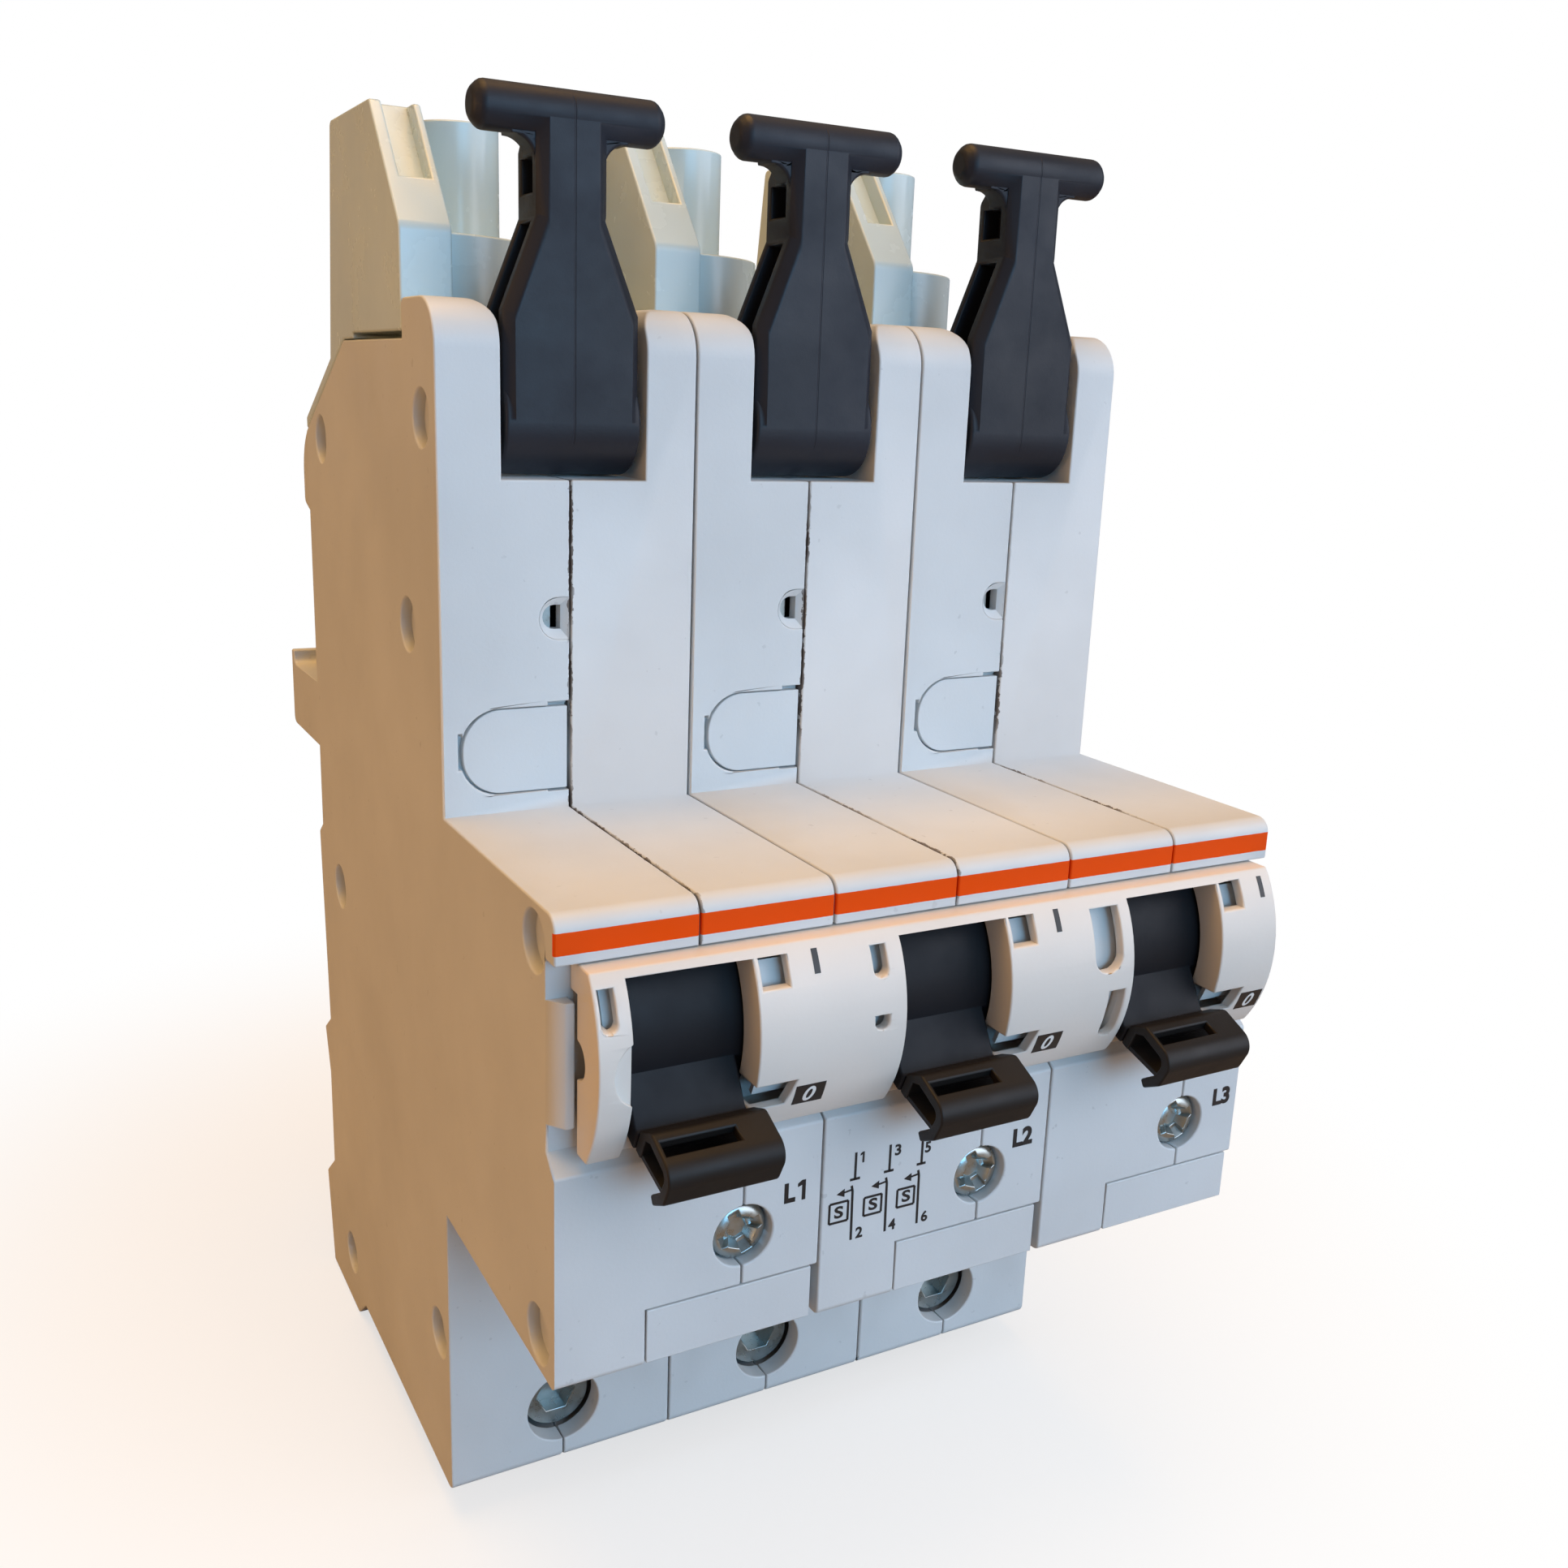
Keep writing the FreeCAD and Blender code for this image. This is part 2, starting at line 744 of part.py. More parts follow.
def cut_front_screw_hole(body):
    """Stepped hole of the front screw, shared by both halves where they overlap."""
    centre = ("front_screw_side", "front_screw_height")
    cut_out(body, "XZ_Plane", "-1", "front_screw_sink + front_screw_head_height + seat_gap",
            circles=[(*centre, "front_screw_hole")])


def shell_left(pole):
    body = shell_half("shell_left_%d" % pole, pole, True)
    extrude(body, "YZ_Plane", "-(%s) - 1" % SEAM, "tongue_edge - (%s)" % SEAM, tongue_profile())
    cut_flap_seat(body)
    cut_front_screw_hole(body)
    outer = "-(%s)" % SPAN
    cut_pin_holes(body, outer + " + pin_cover" if pole == POLES[0] else outer, "0")
    round_end = "(cover_top - cover_foot) * round_share"
    cut_out(body, "XZ_Plane", "cap_depth - 1", "cap_depth + cover_thickness", [
        ("-cover_left", "cover_foot", round_end),
        ("0", "cover_foot"),
        ("0", "cover_top"),
        ("-cover_left", "cover_top", round_end),
    ])
    cut_out(body, "XZ_Plane", "cap_depth - 1", "cap_depth + wall + 1", [
        ("-peep_left", "peep_foot", "(peep_top - peep_foot) * round_share"),
        ("0", "peep_foot"),
        ("0", "peep_top"),
        ("-peep_left", "peep_top", "(peep_top - peep_foot) * round_share"),
    ])
    if pole == POLES[0]:
        sink_recesses(body)
        add_bay_rib(body)
    return body


def shell_right(pole):
    body = shell_half("shell_right_%d" % pole, pole, False)
    cut_out(body, "YZ_Plane", "0", "tongue_edge + (%s)" % SEAM,
            box_corners("-1", "-1", "tongue_depth + seat_gap", "chin_height"))
    cut_flap_seat(body)
    cut_front_screw_hole(body)
    shank = ("front_screw_side", "front_screw_height", "front_screw_shank + rivet_clearance")
    cut_out(body, "XZ_Plane", "0", "front_screw_length + run_gap", hexagons=[shank])
    cut_pin_holes(body, "0", SPAN + " - pin_cover" if pole == POLES[-1] else SPAN)
    return body


def front_flap(pole):
    """Flat insert at the foot of the chin."""
    body = new_body("front_flap_%d" % pole, pole_side(pole))
    extrude(body, "YZ_Plane", "-flap_left", "flap_right",
            box_corners("0", "flap_foot", "tongue_depth - seat_gap", "flap_top"))
    return body


def inspection_cover(pole):
    """Snap-in cover with one round end, flush in the upper front."""
    body = new_body("inspection_cover_%d" % pole, pole_side(pole))
    round_end = "(cover_top - cover_foot - 2 * seat_gap) * round_share"
    extrude(body, "XZ_Plane", "cap_depth + seat_gap", "cap_depth + cover_thickness", [
        ("-cover_left + 3 * seat_gap", "cover_foot + seat_gap", round_end),
        ("-cover_right", "cover_foot + seat_gap"),
        ("-cover_right", "cover_top - seat_gap"),
        ("-cover_left + 3 * seat_gap", "cover_top - seat_gap", round_end),
    ])
    return body


def front_screw(pole):
    """Round-headed screw in the chin, turned about its own axis."""
    body = new_body("front_screw_%d" % pole, "%s + front_screw_side" % pole_side(pole), "0",
                    "front_screw_height")
    under_head = "front_screw_sink + front_screw_head_height"
    revolve(body, "XY_Plane", [
        ("0", "front_screw_sink + front_screw_recess"),
        ("front_screw_recess_floor", "front_screw_sink + front_screw_recess"),
        ("front_screw_recess_mouth", "front_screw_sink"),
        ("front_screw_head", "front_screw_sink"),
        ("front_screw_head", under_head),
        ("front_screw_shank", under_head),
        ("front_screw_shank", "front_screw_length"),
        ("0", "front_screw_length"),
    ])
    return body


def terminal_screw(pole):
    """Headed clamping screw with a hexagonal key socket; its tip bears on the strap."""
    body = new_body("terminal_screw_%d" % pole, pole_side(pole), "screw_head_depth",
                    "terminal_height")
    tip = "strap_front - screw_head_depth - seat_gap"
    revolve(body, "XY_Plane", [
        ("0", "0"),
        ("screw_head", "0"),
        ("screw_head", "screw_head_height"),
        ("screw_shank", "screw_head_height"),
        ("screw_shank", tip),
        ("0", tip),
    ])
    cut_out(body, "XZ_Plane", "-1", "screw_key_depth", hexagons=[("0", "0", "screw_key")])
    return body


def terminal_cage(pole):
    """Square frame that the screw draws forward against the strap."""
    body = new_body("terminal_cage_%d" % pole, pole_side(pole), "0", "terminal_height")
    extrude(body, "XY_Plane", "-cage_half_height", "cage_half_height",
            box_corners("-cage_half_width", "cage_front", "cage_half_width", "cage_back"))
    cut_out(body, "XY_Plane", "-cage_half_height - 1", "cage_half_height + 1",
            box_corners("-cage_half_width + cage_wall", "cage_front + cage_wall",
                        "cage_half_width - cage_wall", "cage_back - cage_wall"))
    cut_out(body, "XZ_Plane", "cage_front - 1", "cage_front + cage_wall + 1",
            circles=[("0", "0", "screw_shank + pin_clearance")])
    return body


def terminal_strap(pole):
    """Upright conductor that the cable is pressed against, up to the bimetal."""
    body = new_body("terminal_strap_%d" % pole, pole_side(pole), "strap_front")
    extrude(body, "YZ_Plane", "-strap_half_width", "strap_half_width",
            box_corners("0", "terminal_height - cage_half_height + seat_gap",
                        "strap_thickness", "strap_top"))
    return body


def bimetal_strip(pole):
    """Thin strip welded to the strap; it bends when the current heats it."""
    body = new_body("bimetal_strip_%d" % pole, pole_side(pole), "strap_front")
    extrude(body, "YZ_Plane", "-bimetal_half_width", "bimetal_half_width",
            box_corners("-bimetal_thickness", "wall", "0", "bimetal_top"))
    return body


def trip_coil(pole):
    """Magnetic trip coil: a winding between two square flanges that sit in the casing."""
    body = new_body("trip_coil_%d" % pole, pole_side(pole), "coil_depth")
    half = "%s - side_wall - seat_gap" % SPAN
    plate = box_corners("-(%s)" % half, "-coil_flange", half, "coil_flange")
    extrude(body, "XY_Plane", "coil_foot", "coil_foot + coil_flange_thickness", plate)
    extrude(body, "XY_Plane", "coil_top - coil_flange_thickness", "coil_top", plate)
    extrude(body, "XY_Plane", "coil_foot", "coil_top", circles=[("0", "0", "coil_radius")])
    return body


def arc_chute(pole):
    """Stack of splitter plates held between two cheeks."""
    body = new_body("arc_chute_%d" % pole, pole_side(pole))
    half = "%s - side_wall - seat_gap" % SPAN
    cheek = box_corners("chute_front", "chute_foot", "chute_back", "chute_top")
    extrude(body, "YZ_Plane", "-(%s)" % half, "-(%s) + chute_cheek" % half, cheek)
    first = ("chute_front", "chute_front + chute_plate_thickness")
    plate = extrude(body, "XZ_Plane", *first,
                    box_corners("-(%s)" % half, "chute_foot", half, "chute_top"))
    row = body.newObject("PartDesign::LinearPattern", "Plates")
    row.Originals = [plate]
    row.Direction = (plate.Profile[0], ["N_Axis"])
    row.Reversed = True
    row.setExpression("Length", bound("chute_back - chute_front - chute_plate_thickness"))
    row.setExpression("Occurrences", bound("chute_plates"))
    body.Tip = row
    extrude(body, "YZ_Plane", "%s - chute_cheek" % half, half, cheek)
    return body


def busbar_contact(pole):
    """Contact block on the busbar, with the riser that leads up to the fixed contact."""
    body = new_body("busbar_contact_%d" % pole, pole_side(pole))
    middle = bar_height(pole)
    foot = "%s - contact_half_height" % middle
    extrude(body, "YZ_Plane", "-contact_half_width", "contact_half_width",
            box_corners(RISER_DEPTH, foot, RISER_DEPTH + " + riser_thickness", "riser_top"))
    extrude(body, "YZ_Plane", "-contact_half_width", "contact_half_width",
            box_corners(RISER_DEPTH, foot, "bar_plane", "%s + contact_half_height" % middle))
    return body


def fixed_contact(pole):
    """Angle on the riser with a contact tip under its foot."""
    body = new_body("fixed_contact_%d" % pole, pole_side(pole))
    extrude(body, "YZ_Plane", "-contact_half_width", "contact_half_width", [
        ("anvil_front", "anvil_foot"),
        (RISER_DEPTH, "anvil_foot"),
        (RISER_DEPTH, "riser_top"),
        (RISER_DEPTH + " - anvil_thickness", "riser_top"),
        (RISER_DEPTH + " - anvil_thickness", "anvil_foot + anvil_thickness"),
        ("anvil_front", "anvil_foot + anvil_thickness"),
    ])
    extrude(body, "XY_Plane", "anvil_foot - tip_height", "anvil_foot",
            box_corners("-tip_half", "anvil_front + seat_gap", "tip_half",
                        "anvil_front + seat_gap + 2 * tip_half"))
    return body


def moving_contact(pole):
    """Contact arm on its pivot, swung open at rest, with a contact tip at its end."""
    body = new_body("moving_contact_%d" % pole, pole_side(pole), "pivot_depth", "pivot_height",
                    "-contact_swing")
    tip_front = "anvil_front + seat_gap - pivot_depth"
    tip_back = tip_front + " + 2 * tip_half"
    closed = "anvil_foot - 2 * tip_height - pivot_height - seat_gap"
    half = "contact_arm_width / 2"
    extrude(body, "YZ_Plane", "-(%s)" % half, half, [
        ("-contact_hub", "-contact_hub"),
        ("contact_hub", "-contact_hub"),
        (tip_back, "%s - contact_arm_thickness" % closed),
        (tip_back, closed),
        (tip_front, closed),
        ("contact_hub", "contact_hub"),
        ("-contact_hub", "contact_hub"),
    ])
    extrude(body, "XY_Plane", closed, "%s + tip_height" % closed,
            box_corners("-tip_half", tip_front, "tip_half", tip_back))
    cut_out(body, "YZ_Plane", "-contact_arm_width", "contact_arm_width",
            circles=[("0", "0", "axle_radius + pin_clearance")])
    return body


def toggle(pole):
    """Black toggle: a drum on the hinge pin and an arm that reaches out through the guard."""
    body = new_body("toggle_%d" % pole, pole_side(pole), "hinge_depth", "hinge_height",
                    "toggle_tilt")
    extrude(body, "YZ_Plane", "-drum_left", "drum_right", circles=[("0", "0", "drum_radius")])
    cut_out(body, "YZ_Plane", "-drum_left - 1", "drum_right + 1",
            box_corners("drum_back", "-drum_radius - 1", "drum_radius + 1", "drum_radius + 1"))
    extrude(body, "YZ_Plane", "-arm_left", "arm_right", [
        ("-drum_radius / 2", "-arm_under"),
        ("-drum_radius / 2", "arm_root_top"),
        ("-drum_radius * 0.96", "arm_root_top"),
        ("-arm_length + grip_wall / 2", "arm_tip_top"),
        ("-arm_length", "arm_tip_top"),
        ("-arm_length", "-arm_under"),
    ])
    cut_out(body, "YZ_Plane", "-drum_left - 1", "drum_right + 1",
            circles=[("0", "0", "axle_radius + pin_clearance")])
    return body


def toggle_grip(pole):
    """Hollow grip on the end of the arm, open underneath and at both ends."""
    body = new_body("toggle_grip_%d" % pole, pole_side(pole), "hinge_depth", "hinge_height",
                    "toggle_tilt")
    root = "-arm_length"
    tip = "-grip_reach"
    extrude(body, "YZ_Plane", "-grip_left", "grip_right", [
        (root, "-arm_under"),
        ("%s - grip_wall" % root, "-arm_under"),
        ("%s - grip_wall" % root, "grip_height - 1.6 * grip_wall"),
        ("%s - 1.8 * grip_wall" % root, "grip_height - grip_wall"),
        ("%s + grip_wall" % tip, "grip_height - grip_wall", "grip_round - grip_wall + grip_lean"),
        ("%s + grip_wall + grip_lean" % tip, "-grip_wall"),
        ("%s + 2.3 * grip_wall" % tip, "-grip_drop + 0.5 * grip_wall"),
        ("%s + 1.6 * grip_wall" % tip, "-grip_drop"),
        ("%s + grip_lean" % tip, "-1.3 * grip_wall", "grip_round / 2"),
        (tip, "grip_height", "grip_round"),
        ("%s - 1.5 * grip_wall" % root, "grip_height", "grip_round / 2"),
        (root, "grip_height - 1.5 * grip_wall"),
    ])
    cut_out(body, "XY_Plane", "0", "grip_height + 1",
            box_corners("-grip_window_left", "%s + 2.2 * grip_wall" % tip, "grip_window_right",
                        "%s - 2.4 * grip_wall" % root))
    return body


def arc_depth(radius, height):
    """Depth in front of the hinge at which an arc about it reaches a height."""
    return "-sqrt((%s)^2 - (%s)^2)" % (radius, height)


def hollow_guard(body, back, foot):
    """Hollows the guard behind its face and opens the windows of the three toggles."""
    bar_top = "guard_bar_top - hinge_height"
    bar_under = "guard_bar_under - hinge_height"
    inner = "guard_radius - guard_wall"
    hollow = [
        (back + " + 1", bar_under),
        (back + " + 1", bar_top),
        (arc_depth(inner, bar_top), bar_top, "0", inner),
        (arc_depth(inner, bar_under), bar_under),
    ]
    for pole in POLES:
        middle = pole_side(pole)
        left = "%s - pole_pitch / 2 + window_rib" % middle
        right = "%s + pole_pitch / 2 - window_rib" % middle
        if pole == POLES[0]:
            left = "-guard_left + guard_wall"
        if pole == POLES[-1]:
            right = "guard_right - guard_wall"
        cut_out(body, "YZ_Plane", left, "%s - window_left - window_rib" % middle, hollow)
        cut_out(body, "YZ_Plane", "%s + window_right + window_rib" % middle, right, hollow)
        window = ("%s - window_left" % middle, "%s + window_right" % middle)
        cut_out(body, "YZ_Plane", *window,
                box_corners("-guard_radius - 1", bar_top, back + " + 1", bar_under))
        cut_out(body, "YZ_Plane", *window,
                box_corners("-guard_radius - 1", foot + " - 1",
                            "-guard_bar_front - hinge_depth", bar_under))
        cut_out(body, "YZ_Plane", "%s - drum_left - run_gap" % middle,
                "%s + drum_right + run_gap" % middle,
                circles=[("0", "0", "drum_radius + run_gap")])
        cut_out(body, "XZ_Plane", "-guard_radius - 1", back + " + 1",
                box_corners("%s + window_right + window_rib" % middle,
                            "sight_foot - hinge_height",
                            "%s + sight_right" % middle, bar_under))
        cut_out(body, "XZ_Plane", "-guard_radius - 1", back + " - 1", [
            ("%s + window_right - seat_gap" % middle, "notch_foot - hinge_height"),
            ("%s + notch_right - notch_lean" % middle, "notch_foot - hinge_height"),
            ("%s + notch_right" % middle, "notch_top - hinge_height"),
            ("%s + window_right - seat_gap" % middle, "notch_top - hinge_height"),
        ])


def slot_corners(name, top):
    """Outline of a slot in the guard's face, with a rounded foot."""
    left = name + "_slot_left"
    right = name + "_slot_right"
    foot = name + "_slot_foot - hinge_height"
    rounding = "(%s - %s) * round_share" % (right, left)
    return [
        (left, foot, rounding),
        (right, foot, rounding),
        (right, "%s - hinge_height" % top),
        (left, "%s - hinge_height" % top),
    ]


def cut_guard_face(body):
    """Slots through the guard's face and the finger hollow beside the first window."""
    face = ("-guard_radius - 1", "-guard_radius + 4 * guard_wall")
    tops = {"end": "slot_head", "joint": "slot_head", "square": "square_slot_top",
            "broad": "slot_head", "low": "low_slot_top"}
    for name, top in tops.items():
        cut_out(body, "XZ_Plane", *face, slot_corners(name, top))
    edge = "-pole_pitch - window_left"
    chord = "finger_top - finger_foot"
    bow = "((%s)^2 / 4 + finger_width^2) / (2 * finger_width)" % chord
    cut_out(body, "XZ_Plane", "-guard_radius - 1", "-guard_radius + finger_depth", [
        (edge, "finger_foot - hinge_height", "0", bow),
        (edge, "finger_top - hinge_height"),
        (edge + " + 0.5", "finger_top - hinge_height"),
        (edge + " + 0.5", "finger_foot - hinge_height"),
    ])


def cut_guard_end(body, back, foot):
    """Frees the left end of the guard from the bay, save for its round head."""
    outer = ("-guard_left - 1", "-guard_left + guard_wall")
    edge = "guard_edge - hinge_depth"
    cut_out(body, "YZ_Plane", *outer,
            box_corners(edge, foot + " - 1", back + " + 1", "guard_head_foot - hinge_height"))
    cut_out(body, "YZ_Plane", *outer,
            circles=[(edge, "guard_notch_height - hinge_height", "guard_notch_radius")])


def toggle_guard():
    """One curved guard over all three toggles, seated on the bay and open behind."""
    body = new_body("toggle_guard", "0", "hinge_depth", "hinge_height")
    back = "bay_depth - hinge_depth"
    foot = "guard_foot - hinge_height"
    top = "bay_top - seat_gap - hinge_height"
    extrude(body, "YZ_Plane", "-guard_left", "guard_right", [
        (back, top),
        (back, foot),
        (arc_depth("guard_radius", foot), foot, "0", "guard_radius"),
        (arc_depth("guard_radius", top), top),
    ])
    hollow_guard(body, back, foot)
    cut_guard_face(body)
    cut_guard_end(body, back, foot)
    return body


def clamp_lever(pole):
    """T-handled lever on the axle; swung forward, it draws the jaw down on the busbar."""
    body = new_body("clamp_lever_%d" % pole, pole_side(pole), "axle_depth", "axle_height")
    front = "-lever_hub"
    back = "-lever_hub + lever_thickness"
    bar_foot = "bar_axis - bar_radius"
    bar_middle = "-lever_hub + bar_radius - seat_gap"
    bar_back = bar_middle + " + bar_radius"
    extrude(body, "XZ_Plane", front, back, [
        ("-lever_left", "0"),
        ("lever_right", "0"),
        ("lever_right", "lever_shoulder"),
        ("neck_right", "lever_kink"),
        ("neck_right", "bar_axis"),
        ("-neck_left", "bar_axis"),
        ("-neck_left", "lever_kink"),
        ("-lever_left", "lever_shoulder"),
    ])
    chamfer_at(body, "Y", front, "lever_chamfer", ("0", "bar_axis"))
    cut_out(body, "YZ_Plane", "-lever_left - 1", "lever_right + 1", [
        (bar_back, "bar_axis + 1"),
        (bar_back, "bar_axis - bar_radius / 2"),
        (back + " + 0.1", bar_foot + " - bar_radius / 2"),
        (back + " + 0.1", "bar_axis + 1"),
    ])
    wing_foot = bar_foot + " - bar_fillet"
    extrude(body, "XZ_Plane", "-lever_hub + bar_radius / 2", bar_back + " - seat_gap", [
        ("neck_right - 1", wing_foot),
        ("neck_right", wing_foot, "0", "bar_fillet"),
        ("neck_right + bar_fillet", bar_foot),
        ("neck_right + bar_fillet", "bar_axis"),
        ("-neck_left - bar_fillet", "bar_axis"),
        ("-neck_left - bar_fillet", bar_foot, "0", "bar_fillet"),
        ("-neck_left", wing_foot),
        ("-neck_left + 1", wing_foot),
    ])
    extrude(body, "YZ_Plane", "-lever_left", "lever_right", circles=[("0", "0", "lever_hub")])
    extrude(body, "YZ_Plane", "-bar_length_left", "bar_length_right",
            circles=[(bar_middle, "bar_axis", "bar_radius")])
    chamfer_at(body, "X", "-bar_length_left", "bar_chamfer")
    chamfer_at(body, "X", "bar_length_right", "bar_chamfer")
    middle = "(neck_right - neck_left) / 2"
    sides = ("-lever_hub + pocket_front", "%s - pocket_back" % back)
    pockets = [
        box_corners(sides[0], "lever_hub", sides[1], "lever_kink - pocket_gap / 4"),
        box_corners(sides[0], "lever_kink + pocket_gap", sides[1], wing_foot + " + pocket_gap / 4"),
    ]
    for pocket in pockets:
        cut_out(body, "YZ_Plane", "-lever_left - 1", "%s - web_half" % middle, pocket)
        cut_out(body, "YZ_Plane", "%s + web_half" % middle, "lever_right + 1", pocket)
    cut_out(body, "YZ_Plane", "-lever_left - 1", "lever_right + 1",
            circles=[("0", "0", "axle_radius + pin_clearance")])
    return body


def clamp_jaw(pole):
    """Rounded jaw behind the back wall, on a stem with a flange inside."""
    body = new_body("clamp_jaw_%d" % pole, pole_side(pole))
    wall_face = "back_depth + run_gap"
    extrude(body, "YZ_Plane", "-jaw_half_width", "jaw_half_width", [
        (wall_face, "jaw_foot"),
        ("jaw_reach - jaw_edge_depth", "jaw_foot"),
        ("jaw_reach", "jaw_foot + jaw_edge", "jaw_edge"),
        ("jaw_reach", "jaw_top", "jaw_round"),
        (wall_face, "jaw_top"),
    ])
    flange_back = "back_depth - wall - seat_gap"
    stem = box_corners(flange_back, "jaw_stem_foot", wall_face, "jaw_stem_top")
    extrude(body, "YZ_Plane", "-jaw_stem_half_width", "jaw_stem_half_width", stem)
    extrude(body, "YZ_Plane", "-jaw_flange_half_width", "jaw_flange_half_width",
            box_corners("%s - jaw_flange_thickness" % flange_back,
                        "jaw_stem_foot - jaw_flange_overlap", flange_back,
                        "jaw_stem_top + jaw_flange_overlap / 2"))
    return body


def contact_housing(pole):
    """Glossy housing on the ledge: a slotted fin with a skirt, a bowed block and a round tower."""
    body = new_body("contact_housing_%d" % pole, pole_side(pole))
    outer = "-(%s)" % SPAN
    fin_side = "-(%s) + fin_width" % SPAN
    floor = "ledge_height + seat_gap"
    seat_front = "ledge_back - 2 * wall"
    fall = "(ledge_height - slope_foot) / (back_depth - ledge_back)"
    skirt_foot = "%s - (%s) * (skirt_back - ledge_back)" % (floor, fall)
    root_top = "%s + skirt_thickness - (%s) * (fin_root - ledge_back)" % (floor, fall)
    extrude(body, "YZ_Plane", outer, fin_side, [
        ("fin_front", floor + " + fin_gap"),
        (seat_front, floor + " + fin_gap"),
        (seat_front, floor),
        ("ledge_back", floor),
        ("skirt_back", skirt_foot),
        ("skirt_back", skirt_foot + " + skirt_thickness"),
        ("fin_root", root_top),
        ("fin_back", "fin_top", "cap_round / 2"),
        ("fin_slope_back", "fin_top", "cap_round / 2"),
        ("fin_front", "fin_kink", "cap_round"),
    ])
    lean = "(fin_slope_back - fin_front) / (fin_top - fin_kink)"
    slot_front = "fin_front + fin_slot_depth + (%s) * (fin_slot_foot - fin_kink)" % lean
    slot_top = "fin_top + 1"
    cut_out(body, "YZ_Plane", outer + " + fin_wall", fin_side + " - fin_inner_wall", [
        ("fin_front", "fin_slot_foot"),
        (slot_front, "fin_slot_foot"),
        ("%s + (%s) * (%s - fin_slot_foot)" % (slot_front, lean, slot_top), slot_top),
        ("fin_front", slot_top),
    ])
    block_side = "%s + block_bow - seat_gap" % fin_side
    bow_front = "block_bow_depth - block_bow + seat_gap"
    extrude(body, "XY_Plane", floor, "block_top", [
        (fin_side + " - 0.5", "block_back"),
        (block_side, "block_back"),
        (block_side, "block_bow_depth", "0", "block_bow"),
        (fin_side, bow_front),
        (fin_side + " - 0.5", bow_front),
    ])
    extrude(body, "XY_Plane", floor, "tower_top",
            circles=[("-tower_side", "tower_depth", "tower_radius")])
    return body


def pin_group(label, radius, rows):
    """Round pins across the breaker, as separate solids of one node."""
    pins = []
    for (depth, height), start, end in rows:
        pin = doc.addObject("Part::Cylinder", "Pin")
        pin.Placement.Rotation = FreeCAD.Rotation(FreeCAD.Vector(0, 1, 0), 90)
        pin.setExpression("Radius", bound(radius))
        pin.setExpression("Height", bound("(%s) - (%s)" % (end, start)))
        pin.setExpression("Placement.Base.x", bound(start))
        pin.setExpression("Placement.Base.y", bound("%s - bar_plane" % depth))
        pin.setExpression("Placement.Base.z", bound("%s - bar_middle" % height))
        pins.append(pin)
    group = doc.addObject("Part::Compound", label)
    group.Label = label
    group.Links = pins
    return group


def through_pins():
    """Rivets and axles that run through all three poles and end inside the outer walls."""
    end = "pole_pitch + (%s) - pin_cover - seat_gap" % SPAN
    span = ("-(%s)" % end, end)
    return [
        pin_group("tie_rivets", "rivet_radius", [(place, *span) for place in RIVETS]),
        pin_group("pivot_axles", "axle_radius", [(place, *span) for place in AXLES]),
    ]


def faults(parts):
    """Every object that failed, and every sub-part without a sound shape."""
    found = []
    for item in doc.Objects:
        if "Invalid" in item.State or "Error" in item.State:
            found.append("%s %s" % (item.Label, item.State))
        elif item.isDerivedFrom("PartDesign::Pocket"):
            if item.Shape.Volume > item.BaseFeature.Shape.Volume - LEAST_CUT:
                found.append("%s cuts nothing from %s" % (item.Name, item.getParent().Label))
    for part in parts:
        if part.Shape.isNull() or not part.Shape.isValid():
            found.append("%s has no valid shape" % part.Label)
    return found


def main():
    parts = []
    makers = (shell_left, shell_right, front_flap, inspection_cover, front_screw, clamp_lever,
              clamp_jaw, contact_housing, toggle, toggle_grip, terminal_screw, terminal_cage,
              terminal_strap, bimetal_strip, trip_coil, arc_chute, busbar_contact,
              fixed_contact, moving_contact)
    for pole in POLES:
        for maker in makers:
            parts.append(maker(pole))
    parts.append(toggle_guard())
    parts.extend(through_pins())
    doc.recompute()
    found = faults(parts)
    if found:
        raise SystemExit("\n".join(found))
    os.makedirs("parts", exist_ok=True)
    for part in parts:
        part.Shape.exportStep("parts/%s.step" % part.Label)
    print("%d sub-parts written" % len(parts))


main()
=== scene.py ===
import json
import math

import bmesh
import bpy
from mathutils import Matrix, Vector
from mathutils.bvhtree import BVHTree

